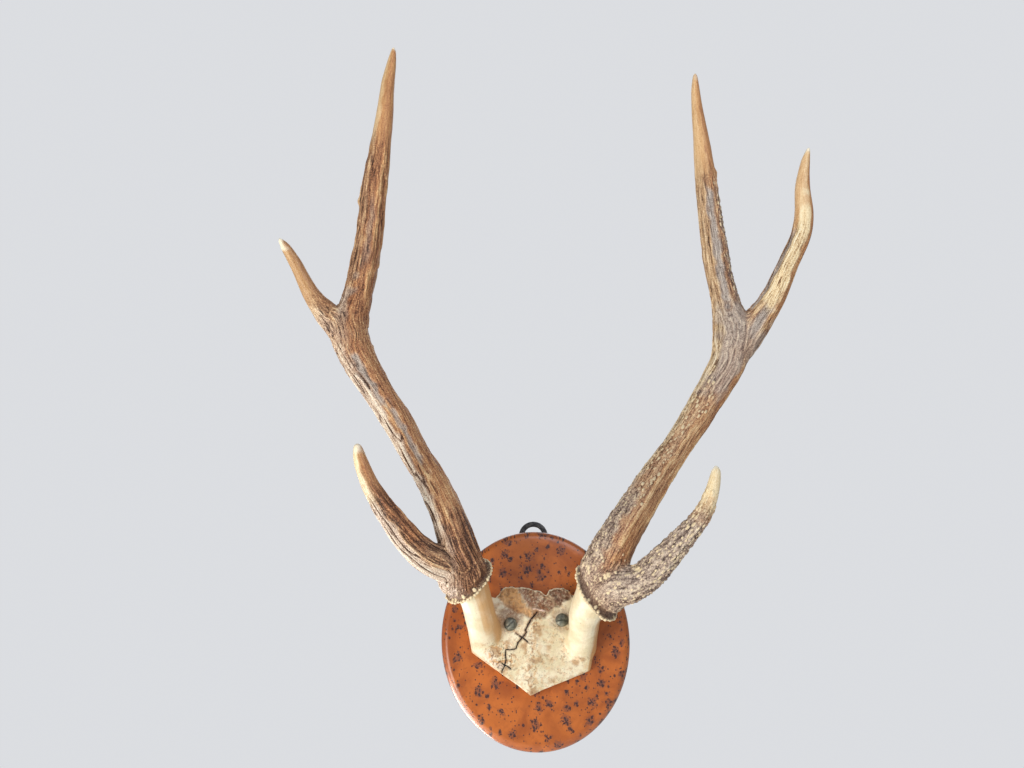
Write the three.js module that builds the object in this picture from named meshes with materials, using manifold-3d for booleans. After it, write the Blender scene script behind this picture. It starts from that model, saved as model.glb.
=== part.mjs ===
// A pair of three-point deer antlers on their sawn skull plate, screwed to an oval wooden wall plaque.
// Millimetres. X is to the viewer's right and Z is up. The wall is the plane y = 0, and the trophy stands
// out from it towards -Y. The origin is the centre of the plaque's flat back.
import * as THREE from "three";
import { mergeVertices } from "three/addons/utils/BufferGeometryUtils.js";
import Module from "manifold-3d";

const wasm = await Module();
wasm.setup();

// ---- Driving dimensions ----

const GAP = 0.3; // clearance between pieces that touch

const PLAQUE_WIDTH = 176;
const PLAQUE_HEIGHT = 200;
const PLAQUE_THICKNESS = 18;
const PLAQUE_EDGE_RADIUS = 5; // the front edge is rounded over
const PLAQUE_SEGMENTS = 56;

const PLATE_FRONT = 29.5; // distance of the skull plate's face from the wall
const PLATE_BEVEL = 2.5;
const PLATE_OUTLINE = [
  [-60, -9], // left end of the saw cut
  [-8, -49], // lowest point of the V-shaped saw cut
  [48, -31], // right end of the saw cut
  [58, 8],
  [54, 30],
  [36, 36],
  [28, 43],
  [15, 44],
  [11, 40], // notch in the broken upper edge
  [4, 45],
  [-8, 46],
  [-26, 46],
  [-35, 39],
  [-46, 42],
  [-64, 28],
]; // [right, up]

const SCREW = {
  headRadius: 6.1,
  headHeight: 4.6,
  shankRadius: 2.5,
  length: 24,
  slotWidth: 1.7,
  slotDepth: 2.4,
};
const SKULL_SCREWS = [
  { name: "left_screw", right: -23, up: 14, slotTurn: THREE.MathUtils.degToRad(-38) },
  { name: "right_screw", right: 24.5, up: 15, slotTurn: THREE.MathUtils.degToRad(-4) },
];

const HANGER_CENTRE = { right: 4, up: 97 }; // middle of the eye
const HANGER_THICKNESS = 2;
const HANGER_EYE_RADIUS = 14;
const HANGER_HOLE_RADIUS = 9;
const HANGER_STRAP_WIDTH = 18;
const HANGER_STRAP_LENGTH = 38; // from the eye's middle to the middle of the round lower end
const HANGER_SCREW = { headRadius: 3.7, shankRadius: 1.6, length: 12, headHeight: 1.9 };
const HANGER_SCREW_DROPS = { hanger_screw_upper: 20, hanger_screw_lower: 36 }; // below the eye's middle

const BURR_THICKNESS = 10;
const FOOT_HEIGHT = 20; // of the swollen foot of the beam and brow tine, above the burr's underside
const TINE_SIDES = 12;
const ROUND_SIDES = 20; // facets round a screw or a hole
const RING_STEP = 13; // spacing of the sections along an antler

// Each antler is a stem, which is the pedicle, the beam and the inner top tine in one line, and two side
// tines. A station is [right, distance from the wall, up, radius]. The burr stands on the pedicle at its own
// station, about an axis of its own, and its neck is a share of its radius. Fork is the stem's station where
// the outer top tine leaves it.
const LEFT_ANTLER = {
  burr: { station: 3, radius: 25.2, neck: 0.9, axis: [-0.545, 0.57, 0.615] },
  fork: 12,
  stem: [
    [-46, 22, 4, 15.5],
    [-49, 42, 17, 14.5],
    [-52, 59, 32, 14],
    [-57.3, 74.3, 50, 15.5],
    [-61.5, 83, 64, 17],
    [-67, 88, 84, 16],
    [-75, 84, 111, 14.6],
    [-88, 68, 143, 14],
    [-105, 49, 176, 13.5],
    [-122, 34, 211, 14.5],
    [-141, 26, 244, 14.5],
    [-159, 23, 278, 17.2],
    [-168.3, 23, 308, 18.3],
    [-160, 22, 347, 14.6],
    [-151.6, 22, 386, 14],
    [-145.6, 23, 425, 13.3],
    [-141, 27, 463, 13.2],
    [-134, 34, 500, 11.5],
    [-127, 45, 534, 9.3],
    [-121, 58, 568, 7],
    [-116.3, 66, 585, 5],
    [-113.3, 72, 596, 2.8],
    [-112.8, 74.5, 599.6, 1],
  ],
  outer: [
    [-164, 23, 300, 11],
    [-177, 24, 314, 13],
    [-191, 25, 328, 12.3],
    [-205.3, 29, 347, 8.6],
    [-220.4, 38, 379, 6.3],
    [-229, 43, 394, 4.8],
    [-233.8, 45.5, 401, 2.4],
    [-235, 46, 403.3, 1],
  ],
  brow: [
    [-64, 83, 66, 13],
    [-78, 87, 65, 14.5],
    [-91, 93, 71, 14],
    [-103, 98, 81, 12.5],
    [-121, 108, 104, 10],
    [-137, 115, 130, 8.1],
    [-145.5, 120, 152, 6.5],
    [-147.7, 122, 162, 5.1],
    [-148.6, 123.3, 168, 3.3],
    [-148.7, 123.7, 170, 1.2],
  ],
};
const RIGHT_ANTLER = {
  burr: { station: 3, radius: 28, neck: 0.84, axis: [0.75, 0.52, 0.41] },
  fork: 13,
  stem: [
    [40, 22, -10, 15.5],
    [42.8, 42, 4, 13.4],
    [44.3, 61, 19, 14.9],
    [52, 77, 34, 17],
    [58, 89, 50, 20],
    [67, 95, 68, 18.5],
    [80, 91, 87, 17],
    [99, 77, 112, 15.8],
    [120, 60, 139.6, 14.7],
    [144.6, 44, 169, 13.4],
    [169.6, 31, 201, 14.7],
    [192.6, 25, 233, 16],
    [209.4, 24, 258.3, 18.4],
    [216, 24, 285, 20.3],
    [213.2, 23, 316, 15],
    [210, 22, 346, 13.1],
    [209, 22, 376, 13.2],
    [207.2, 25, 415, 11.8],
    [205.4, 30, 453, 11.1],
    [203.8, 39, 491, 8.7],
    [200, 52, 525, 5.9],
    [198.3, 61, 543, 4.5],
    [198, 67.5, 554, 2.6],
    [198, 69, 557.4, 1],
  ],
  outer: [
    [210, 24, 262, 13],
    [231, 27, 285, 14.6],
    [246, 33, 301, 14],
    [256, 39, 316, 12],
    [272, 50, 346, 10.3],
    [289, 57, 378, 9.8],
    [293, 60, 398, 9.4],
    [293, 67, 424, 7.4],
    [297, 75, 448, 4.4],
    [300, 78.5, 458, 2.2],
    [300.8, 79.3, 460.5, 1],
  ],
  brow: [
    [60, 90, 43, 17],
    [76, 97, 38.5, 16.8],
    [91, 103, 42, 13.9],
    [102, 109, 50, 13],
    [122, 118, 69, 10.3],
    [143, 123, 90, 8],
    [152.5, 124, 105, 6.6],
    [158, 124, 119, 5.5],
    [160.8, 123.3, 129, 4.3],
    [161.3, 123, 132, 2.9],
    [161.4, 123, 134.4, 1.1],
  ],
};

// ---- Materials ----

const FINISHES = {
  wood: { color: 0xb86a3c, roughness: 0.4, metalness: 0 },
  bone: { color: 0xe3d2a2, roughness: 0.65, metalness: 0 },
  antler: { color: 0x86684a, roughness: 0.7, metalness: 0 },
  steel: { color: 0x47514f, roughness: 0.45, metalness: 0.85 },
};

// ---- Helpers ----

// A point of the trophy from its distances to the right, out from the wall and up.
function place(right, out, up) {
  return new THREE.Vector3(right, -out, up);
}

// A closed geometry as a solid that can be joined and cut.
function solidOf(geometry) {
  const bare = geometry.clone();
  bare.deleteAttribute("normal");
  bare.deleteAttribute("uv");
  const merged = mergeVertices(bare, 1e-4);
  const vertProperties = merged.attributes.position.array;
  const triVerts = new Uint32Array(merged.index.array);
  return new wasm.Manifold(new wasm.Mesh({ numProp: 3, vertProperties, triVerts }));
}

// A solid as a geometry that a mesh can show.
function geometryOf(solid) {
  const mesh = solid.getMesh();
  const geometry = new THREE.BufferGeometry();
  geometry.setAttribute("position", new THREE.BufferAttribute(new Float32Array(mesh.vertProperties), 3));
  geometry.setIndex(new THREE.BufferAttribute(new Uint32Array(mesh.triVerts), 1));
  geometry.computeVertexNormals();
  return geometry;
}

// One named piece with a material of its own.
function piece(name, geometry, finish) {
  const mesh = new THREE.Mesh(geometry, new THREE.MeshStandardMaterial(finish));
  mesh.name = name;
  return mesh;
}

// An outline drawn in [right, up] and extruded out from the wall, from one distance to another.
function slab(shape, from, to, options = {}) {
  const bevel = options.bevel ?? 0;
  const geometry = new THREE.ExtrudeGeometry(shape, {
    depth: to - from - 2 * bevel,
    bevelEnabled: bevel > 0,
    bevelThickness: bevel,
    bevelSize: bevel,
    bevelOffset: -bevel,
    bevelSegments: 2,
    curveSegments: 12,
  });
  return geometry.translate(0, 0, from + bevel).rotateX(Math.PI / 2);
}

// A turned solid whose axis points out from the wall. The profile is [radius, out] pairs that start and
// end on the axis, listed from the wall outwards.
function turned(profile, segments) {
  const points = profile.map(([radius, out]) => new THREE.Vector2(radius, out));
  return new THREE.LatheGeometry(points, segments).rotateX(Math.PI);
}

// The smooth line of a tine, with its radius at any distance along it.
class Route {
  constructor(stations) {
    this.line = new THREE.CatmullRomCurve3(stations.map(([right, out, up]) => place(right, out, up)));
    const radii = stations.map(([, , , radius]) => new THREE.Vector3(radius, 0, 0));
    this.radii = new THREE.CatmullRomCurve3(radii, false, "catmullrom", 0.5);
    this.spans = stations.length - 1;
    this.length = this.line.getLength();
  }

  // The distance along the line of one of its stations.
  lengthAt(station) {
    const finest = 50 * this.spans;
    return this.line.getLengths(finest)[50 * station];
  }

  // The point, the axes of the section and the radius at a distance along the line.
  sectionAt(distance) {
    const t = this.line.getUtoTmapping(THREE.MathUtils.clamp(distance / this.length, 0, 1));
    const tangent = this.line.getTangent(t);
    const front = new THREE.Vector3(0, -1, 0).addScaledVector(tangent, tangent.y).normalize();
    return {
      centre: this.line.getPoint(t),
      tangent,
      front,
      side: new THREE.Vector3().crossVectors(tangent, front),
      radius: this.radii.getPoint(t).x,
    };
  }
}

// A round tapering solid along part of a route, larger by grow all over.
function sweep(route, from, to, grow = 0) {
  const start = from - grow;
  const reach = to - from + 2 * grow;
  const rings = Math.max(3, Math.round((to - from) / RING_STEP));
  const tube = new THREE.CylinderGeometry(1, 1, 1, TINE_SIDES, rings);
  const vertices = tube.attributes.position;
  for (let i = 0; i < vertices.count; i++) {
    const distance = start + reach * (vertices.getY(i) + 0.5);
    const section = route.sectionAt(distance);
    const radius = section.radius + grow;
    const vertex = section.centre.clone();
    vertex.addScaledVector(section.side, vertices.getX(i) * radius);
    vertex.addScaledVector(section.front, vertices.getZ(i) * radius);
    const beyond = distance - THREE.MathUtils.clamp(distance, 0, route.length);
    vertex.addScaledVector(section.tangent, beyond);
    vertices.setXYZ(i, vertex.x, vertex.y, vertex.z);
  }
  return solidOf(tube);
}

// The burr and the swollen foot that it goes round, larger by grow all over.
function burrOf(plan, grow) {
  const reach = plan.burr.radius + grow;
  const profile = [
    [0, -grow],
    [0.8 * reach, -grow],
    [reach, 0.3 * BURR_THICKNESS],
    [0.94 * reach, 0.6 * BURR_THICKNESS],
    [plan.burr.neck * reach, 0.9 * BURR_THICKNESS],
    [(plan.burr.neck - 0.06) * reach, FOOT_HEIGHT + grow],
    [0, FOOT_HEIGHT + grow],
  ];
  const collar = new THREE.LatheGeometry(
    profile.map(([r, along]) => new THREE.Vector2(r, along)),
    2 * TINE_SIDES,
  );
  const [right, out, up] = plan.stem[plan.burr.station];
  const upright = new THREE.Vector3(0, 1, 0);
  const turn = new THREE.Quaternion().setFromUnitVectors(upright, place(...plan.burr.axis).normalize());
  return solidOf(collar.applyQuaternion(turn).translate(right, -out, up));
}

// ---- Antlers ----

// One antler: the pedicle that belongs to the skull, and the four grown pieces split at the forks.
function growAntler(side, plan) {
  const stem = new Route(plan.stem);
  const foot = stem.lengthAt(plan.burr.station) + BURR_THICKNESS / 2;
  const fork = stem.lengthAt(plan.fork);
  const beam = (grow) => sweep(stem, foot, fork, grow).add(burrOf(plan, grow));
  const inner = (grow) => sweep(stem, fork + GAP, stem.length, grow);
  const sideTine = (stations) => {
    const route = new Route(stations);
    return sweep(route, 0, route.length).subtract(beam(GAP)).subtract(inner(GAP));
  };
  const pieces = {
    beam: beam(0),
    inner_tine: inner(0),
    outer_tine: sideTine(plan.outer),
    brow_tine: sideTine(plan.brow),
  };
  const group = new THREE.Group();
  for (const [part, solid] of Object.entries(pieces)) {
    group.add(piece(`${side}_${part}`, geometryOf(solid), FINISHES.antler));
  }
  return { group, pedicle: sweep(stem, 0, foot).subtract(beam(GAP)) };
}

// ---- Skull plate ----

// The sawn frontal bone with both pedicles, flat where it lies on the plaque.
function buildSkullPlate(pedicles) {
  const outline = new THREE.Shape(PLATE_OUTLINE.map(([right, up]) => new THREE.Vector2(right, up)));
  const back = PLAQUE_THICKNESS + GAP;
  let bone = solidOf(slab(outline, back - PLATE_BEVEL, PLATE_FRONT, { bevel: PLATE_BEVEL }));
  for (const pedicle of pedicles) {
    bone = bone.add(pedicle);
  }
  const depth = 100;
  const behind = new THREE.BoxGeometry(2 * PLAQUE_WIDTH, depth, 2 * PLAQUE_HEIGHT);
  bone = bone.subtract(solidOf(behind.translate(0, depth / 2 - back, 0)));
  for (const { right, up } of SKULL_SCREWS) {
    bone = bone.subtract(boredHole(right, up, 0, 2 * PLATE_FRONT, SCREW.shankRadius));
  }
  return piece("skull_plate", geometryOf(bone), FINISHES.bone);
}

// ---- Screws ----

// A cylinder that clears a shank, between two distances from the wall.
function boredHole(right, up, from, to, shankRadius) {
  const radius = shankRadius + GAP;
  const profile = [
    [0, from],
    [radius, from],
    [radius, to],
    [0, to],
  ];
  return solidOf(turned(profile, ROUND_SIDES).translate(right, 0, up));
}

// A slotted round-head screw with its head on the skull plate and its point in the plaque.
function buildSkullScrew({ name, right, up, slotTurn }) {
  const dome = [90, 68, 46, 23].map((degrees) => {
    const angle = THREE.MathUtils.degToRad(90 - degrees);
    return [SCREW.headRadius * Math.cos(angle), SCREW.headHeight * Math.sin(angle)];
  });
  const profile = [
    [0, -SCREW.length],
    [SCREW.shankRadius, -SCREW.length + 2 * SCREW.shankRadius],
    [SCREW.shankRadius, 0],
    ...dome,
    [0, SCREW.headHeight],
  ];
  const slot = new THREE.BoxGeometry(3 * SCREW.headRadius, 2 * SCREW.slotDepth, SCREW.slotWidth);
  slot.rotateY(slotTurn).translate(0, -SCREW.headHeight, 0);
  const screw = solidOf(turned(profile, ROUND_SIDES)).subtract(solidOf(slot));
  const mesh = piece(name, geometryOf(screw), FINISHES.steel);
  mesh.position.copy(place(right, PLATE_FRONT + GAP, up));
  return mesh;
}

// ---- Hanger ----

// The strap and eye of the hanger as an outline about the eye's middle, larger by grow all round.
function hangerOutline(grow) {
  const half = HANGER_STRAP_WIDTH / 2 + grow;
  const eye = HANGER_EYE_RADIUS + grow;
  const shoulder = Math.asin(half / eye);
  const outline = new THREE.Shape();
  outline.absarc(0, 0, eye, -Math.PI / 2 + shoulder, 1.5 * Math.PI - shoulder, false);
  outline.absarc(0, -HANGER_STRAP_LENGTH, half, Math.PI, 2 * Math.PI, false);
  return outline;
}

// A countersunk screw of the hanger, head at the wall side, larger by grow all over.
function hangerScrew(grow) {
  const { headRadius, headHeight, shankRadius, length } = HANGER_SCREW;
  const profile = [
    [0, -grow],
    [headRadius + grow, -grow],
    [shankRadius + grow, headHeight + grow],
    [shankRadius + grow, length - shankRadius],
    [0, length + grow],
  ];
  return turned(profile, ROUND_SIDES);
}

// Where each hanger screw stands.
const hangerScrewPlaces = Object.entries(HANGER_SCREW_DROPS).map(([name, drop]) => ({
  name,
  position: place(HANGER_CENTRE.right, GAP, HANGER_CENTRE.up - drop),
}));

// The holes that the hanger's screws go through.
function hangerScrewHoles() {
  const holes = hangerScrewPlaces.map(({ position }) => {
    return solidOf(hangerScrew(GAP).translate(position.x, position.y, position.z));
  });
  return holes.reduce((all, hole) => all.add(hole));
}

// The dark steel hanger in the plaque's back, with its eye standing above the top edge.
function buildHanger() {
  const group = new THREE.Group();
  const outline = hangerOutline(0);
  const hole = new THREE.Path();
  hole.absarc(0, 0, HANGER_HOLE_RADIUS, 0, 2 * Math.PI, true);
  outline.holes.push(hole);
  const strap = slab(outline, GAP, GAP + HANGER_THICKNESS);
  strap.translate(HANGER_CENTRE.right, 0, HANGER_CENTRE.up);
  const plate = solidOf(strap).subtract(hangerScrewHoles());
  group.add(piece("hanger_plate", geometryOf(plate), FINISHES.steel));
  for (const { name, position } of hangerScrewPlaces) {
    const screw = piece(name, hangerScrew(0), FINISHES.steel);
    screw.position.copy(position);
    group.add(screw);
  }
  return group;
}

// ---- Plaque ----

// The oval wooden plaque with its front edge rounded over, bored for the screws and let in for the hanger.
function buildPlaque() {
  const radius = PLAQUE_HEIGHT / 2;
  const edge = [0, 22.5, 45, 67.5, 90].map((degrees) => {
    const angle = THREE.MathUtils.degToRad(degrees);
    const inset = PLAQUE_EDGE_RADIUS * (1 - Math.cos(angle));
    return [radius - inset, PLAQUE_THICKNESS - PLAQUE_EDGE_RADIUS * (1 - Math.sin(angle))];
  });
  const profile = [[0, 0], [radius - 1, 0], [radius, 1], ...edge, [0, PLAQUE_THICKNESS]];
  let wood = solidOf(turned(profile, PLAQUE_SEGMENTS).scale(PLAQUE_WIDTH / PLAQUE_HEIGHT, 1, 1));
  const screwPoint = PLATE_FRONT - SCREW.length;
  for (const { right, up } of SKULL_SCREWS) {
    const pilot = boredHole(right, up, screwPoint, 2 * PLAQUE_THICKNESS, SCREW.shankRadius);
    wood = wood.subtract(pilot);
  }
  const recess = slab(hangerOutline(GAP), -1, 2 * GAP + HANGER_THICKNESS);
  recess.translate(HANGER_CENTRE.right, 0, HANGER_CENTRE.up);
  wood = wood.subtract(solidOf(recess)).subtract(hangerScrewHoles());
  return piece("plaque", geometryOf(wood), FINISHES.wood);
}

// ---- Assembly ----

const trophy = new THREE.Group();
const leftAntler = growAntler("left", LEFT_ANTLER);
const rightAntler = growAntler("right", RIGHT_ANTLER);
trophy.add(buildPlaque());
trophy.add(buildSkullPlate([leftAntler.pedicle, rightAntler.pedicle]));
trophy.add(leftAntler.group);
trophy.add(rightAntler.group);
for (const screw of SKULL_SCREWS) {
  trophy.add(buildSkullScrew(screw));
}
trophy.add(buildHanger());

export default trophy;
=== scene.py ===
"""The looks of a pair of mounted deer antlers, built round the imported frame.

Every piece is in metres in the frame of the CAD: +X to the viewer's right, +Z up, and the wall is the
plane y = 0, from which the trophy stands out towards -Y. Plans are written in millimetres and turned into
metres where a mesh is made.
"""

import itertools
import logging
import math
from collections.abc import Iterable, Sequence
from dataclasses import dataclass, field
from enum import Enum

import bpy
import numpy as np
from mathutils import Matrix, Vector, kdtree


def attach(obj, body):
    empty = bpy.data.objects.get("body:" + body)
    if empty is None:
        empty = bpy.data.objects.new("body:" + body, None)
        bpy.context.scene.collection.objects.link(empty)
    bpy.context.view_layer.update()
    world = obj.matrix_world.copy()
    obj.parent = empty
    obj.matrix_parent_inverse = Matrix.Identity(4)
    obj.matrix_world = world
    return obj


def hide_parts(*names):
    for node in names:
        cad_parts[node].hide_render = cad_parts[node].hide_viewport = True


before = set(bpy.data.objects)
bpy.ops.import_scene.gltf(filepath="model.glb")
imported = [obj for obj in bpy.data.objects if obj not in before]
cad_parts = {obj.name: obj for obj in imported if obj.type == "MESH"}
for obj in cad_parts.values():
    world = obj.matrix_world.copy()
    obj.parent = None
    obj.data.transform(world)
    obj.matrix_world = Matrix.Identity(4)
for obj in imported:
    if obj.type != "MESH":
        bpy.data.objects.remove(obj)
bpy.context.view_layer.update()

MM = 0.001
BODY = "root"
RELAX_LEVELS = 20  # how finely a weight is told apart

log = logging.getLogger("trophy")

Array = np.ndarray
Pair = tuple[float, float]
Triple = tuple[float, float, float]
Station = tuple[float, float, float, float]  # right, distance from the wall, up, radius
Piece = bpy.types.Object
Socket = bpy.types.NodeSocket
Feed = Socket | float | tuple


# ---- Numbers over a surface ----


def smooth_step(values: Array, low: float, high: float) -> Array:
    """Rises smoothly from 0 at low to 1 at high.

    Args:
        values: The numbers to map.
        low: Where the result is 0.
        high: Where the result is 1. It may be below low, which turns the step round.

    Returns:
        One number from 0 to 1 for each value.
    """
    share = np.clip((values - low) / (high - low), 0.0, 1.0)
    return share * share * (3.0 - 2.0 * share)


def cell_random(cells: Array, seed: int) -> Array:
    """A repeatable random number from 0 to 1 for each cell of a lattice.

    Args:
        cells: Whole numbers, one row of three for each cell.
        seed: Picks one of many unrelated lattices.

    Returns:
        One number from 0 to 1 for each row.
    """
    x, y, z = (cells[:, i].astype(np.uint32) for i in range(3))
    mixed = x * np.uint32(374761393) + y * np.uint32(668265263) + z * np.uint32(2246822519)
    mixed += np.uint32((seed * 3266489917) & 0xFFFFFFFF)
    mixed = (mixed ^ (mixed >> np.uint32(15))) * np.uint32(2654435761)
    mixed = (mixed ^ (mixed >> np.uint32(13))) * np.uint32(1274126177)
    return (mixed ^ (mixed >> np.uint32(16))).astype(np.float64) / 0xFFFFFFFF


def swell(points: Array, seed: int) -> Array:
    """Smooth lattice noise that swings between about -0.7 and 0.7 over one unit.

    Args:
        points: Places, one row of three for each.
        seed: Picks one of many unrelated patterns.

    Returns:
        One number for each place.
    """
    cells = np.floor(points).astype(np.int64)
    inside = points - cells
    fade = inside**3 * (inside * (inside * 6.0 - 15.0) + 10.0)
    total = np.zeros(len(points))
    for corner in itertools.product((0, 1), repeat=3):
        step = np.array(corner)
        slope = sum(
            (2.0 * cell_random(cells + step, 3 * seed + axis) - 1.0) * (inside[:, axis] - step[axis])
            for axis in range(3)
        )
        total += slope * np.prod(np.where(step == 1, fade, 1.0 - fade), axis=1)
    return total


def crests(places: Array, around: Array, spacing: float, reach: float, width: float, seed: int) -> Array:
    """Crests of an even width that wander along the third axis and meet and part as grown ridges do.

    Args:
        places: Places in millimetres whose third axis runs along the tine.
        around: The direction round the tine at each place, on the first two axes.
        spacing: The distance across from crest to crest.
        reach: How far a crest runs before it wanders.
        width: Half the width of a crest.
        seed: Picks the pattern.

    Returns:
        1 on a crest, falling to 0 in the channels.
    """
    stretch = (spacing, spacing, reach)
    step = 0.1 * spacing
    here = swell(places / stretch, seed)
    beside = places.copy()
    beside[:, :2] += step * around
    slope = np.abs(swell(beside / stretch, seed) - here) / step
    share = np.abs(here) / (slope * width + 0.02)
    return np.clip(1.0 - share**2, 0.0, 1.0)


def across_line(places: Array, line: Sequence[Pair]) -> Array:
    """The distance of each place from a line of straight stretches on the trophy's face.

    Args:
        places: Places as right and up, one row of two for each.
        line: The line's points as right and up.

    Returns:
        The shortest distance for each place.
    """
    nearest = np.full(len(places), np.inf)
    for start, end in itertools.pairwise(np.array(line, float)):
        run = end - start
        share = np.clip((places - start) @ run / (run @ run), 0.0, 1.0)
        nearest = np.minimum(nearest, np.linalg.norm(places - start - share[:, None] * run, axis=1))
    return nearest


def scattered(points: Array, chance: Array, spacing: float, seed: int) -> list[int]:
    """Picks surface points at random that keep their distance from each other.

    Args:
        points: All the surface's points, in millimetres.
        chance: How likely each one is to be tried, from 0 to 1.
        spacing: The least distance between two picked points.
        seed: Starts the random draws.

    Returns:
        The picked points' indices.
    """
    draws = np.random.default_rng(seed)
    order = draws.permutation(len(points))
    order = order[draws.random(len(points)) < chance[order]]
    taken: dict[tuple[int, ...], list[int]] = {}
    picked: list[int] = []
    cells = np.floor(points / spacing).astype(int)
    around = list(itertools.product((-1, 0, 1), repeat=3))
    for index in order:
        x, y, z = (int(n) for n in cells[index])
        near = [other for i, j, k in around for other in taken.get((x + i, y + j, z + k), ())]
        if near and np.min(np.sum((points[near] - points[index]) ** 2, axis=1)) < spacing**2:
            continue
        taken.setdefault((x, y, z), []).append(int(index))
        picked.append(int(index))
    return picked


# ---- Meshes ----


def choose(*pieces: Piece) -> None:
    """Selects these pieces alone, in object mode, and makes the first one active.

    Args:
        pieces: The pieces to select. With none, everything is deselected.
    """
    if bpy.context.object is not None and bpy.context.object.mode != "OBJECT":
        bpy.ops.object.mode_set(mode="OBJECT")
    bpy.ops.object.select_all(action="DESELECT")
    for piece in pieces:
        piece.select_set(True)
    if pieces:
        bpy.context.view_layer.objects.active = pieces[0]


def open_mesh(piece: Piece, action: str = "SELECT") -> None:
    """Goes to edit mode.

    Args:
        piece: The piece to edit.
        action: Whether all of it is selected or, with DESELECT, nothing.
    """
    choose(piece)
    bpy.ops.object.mode_set(mode="EDIT")
    bpy.ops.mesh.select_all(action=action)


def modify(piece: Piece, kind: str, **settings: object) -> None:
    """Adds a modifier to a piece and applies it.

    Args:
        piece: The piece to change.
        kind: The modifier's type.
        settings: The modifier's own settings.
    """
    choose(piece)
    modifier = piece.modifiers.new("Work", kind)
    for name, value in settings.items():
        setattr(modifier, name, value)
    bpy.ops.object.modifier_apply(modifier=modifier.name)


def settle(piece: Piece) -> None:
    """Puts a piece's place, turn and size into its mesh."""
    choose(piece)
    bpy.ops.object.transform_apply(location=True, rotation=True, scale=True)


def joined(name: str, pieces: Sequence[Piece]) -> Piece:
    """Joins pieces into one.

    Args:
        name: The joined piece's name.
        pieces: The pieces, which all become the first.

    Returns:
        The joined piece.
    """
    choose(*pieces)
    bpy.ops.object.join()
    pieces[0].name = name
    return pieces[0]


def cut_away(piece: Piece, tool: Piece) -> None:
    """Cuts a piece with another, and removes the other.

    Args:
        piece: The piece to change.
        tool: The piece that cuts.
    """
    modify(piece, "BOOLEAN", object=tool, operation="DIFFERENCE", solver="EXACT")
    bpy.data.objects.remove(tool)


def cut_slot(piece: Piece, size: Triple, height: float, turn: float) -> None:
    """Cuts a straight slot across a piece that is built about the Z axis.

    Args:
        piece: The piece to cut.
        size: The cutter's length, width and height in millimetres.
        height: How high its middle lies.
        turn: Its direction in degrees.
    """
    choose()
    bpy.ops.mesh.primitive_cube_add(size=1.0, location=(0, 0, height * MM))
    cutter = bpy.context.object
    cutter.scale = [side * MM for side in size]
    cutter.rotation_euler = (0, 0, math.radians(turn))
    settle(cutter)
    cut_away(piece, cutter)


def round_edges(piece: Piece, width: float) -> None:
    """Rounds a piece's sharp edges.

    Args:
        piece: The piece to change.
        width: How far in the rounding begins, in millimetres.
    """
    sharp = math.radians(50)
    modify(piece, "BEVEL", width=width * MM, segments=2, limit_method="ANGLE", angle_limit=sharp)


def grow_skin(piece: Piece, voxel: float) -> None:
    """Gives joined bodies one closed skin with an even mesh.

    Args:
        piece: The piece to change.
        voxel: The size of its faces in millimetres.
    """
    modify(piece, "REMESH", mode="VOXEL", voxel_size=voxel * MM, adaptivity=0.0)


def face_outwards(piece: Piece) -> None:
    """Turns all the faces of a closed piece outwards.

    Args:
        piece: The piece, a closed mesh.
    """
    open_mesh(piece)
    bpy.ops.mesh.normals_make_consistent(inside=False)
    bpy.ops.object.mode_set(mode="OBJECT")


def turned(name: str, profile: Sequence[Pair], sides: int) -> Piece:
    """A round piece about the Z axis, extruded ring by ring.

    Args:
        name: The piece's name.
        profile: Radius and height of each ring in millimetres, from one end to the other.
        sides: The number of facets round it.

    Returns:
        The piece, closed at both ends.
    """
    choose()
    radius, height = profile[0]
    bpy.ops.mesh.primitive_circle_add(
        vertices=sides, radius=radius * MM, fill_type="NGON", location=(0, 0, height * MM)
    )
    piece = bpy.context.object
    piece.name = name
    open_mesh(piece)
    for (last_radius, last_height), (radius, height) in itertools.pairwise(profile):
        bpy.ops.mesh.extrude_region_move(
            TRANSFORM_OT_translate={"value": (0, 0, (height - last_height) * MM)}
        )
        ratio = radius / last_radius
        bpy.ops.transform.resize(value=(ratio, ratio, 1), center_override=(0, 0, height * MM))
    bpy.ops.object.mode_set(mode="OBJECT")
    settle(piece)
    face_outwards(piece)
    return piece


def stand_out(piece: Piece, right: float, out: float, up: float) -> None:
    """Turns a piece built about +Z so that it stands out from the wall, and moves it there.

    Args:
        piece: The piece, with its foot at the origin.
        right: How far right it goes, in millimetres.
        out: Its foot's distance from the wall.
        up: How far up it goes.
    """
    piece.rotation_euler = (math.radians(90), 0, 0)
    piece.location = (right * MM, -out * MM, up * MM)
    settle(piece)


def points_of(piece: Piece) -> Array:
    """The places of a piece's vertices, in millimetres.

    Args:
        piece: The piece.

    Returns:
        One row of three for each vertex.
    """
    flat = np.empty(3 * len(piece.data.vertices), np.float32)
    piece.data.vertices.foreach_get("co", flat)
    return flat.reshape(-1, 3).astype(float) / MM


def normals_of(piece: Piece) -> Array:
    """The outward directions at a piece's vertices.

    Args:
        piece: The piece.

    Returns:
        One row of three for each vertex.
    """
    flat = np.empty(3 * len(piece.data.vertices), np.float32)
    piece.data.vertex_normals.foreach_get("vector", flat)
    return flat.reshape(-1, 3).astype(float)


def move_points(piece: Piece, points: Array) -> None:
    """Puts a piece's vertices at new places.

    Args:
        piece: The piece to change.
        points: The new places in millimetres.
    """
    piece.data.vertices.foreach_set("co", (points * MM).astype(np.float32).ravel())
    piece.data.update()


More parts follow.
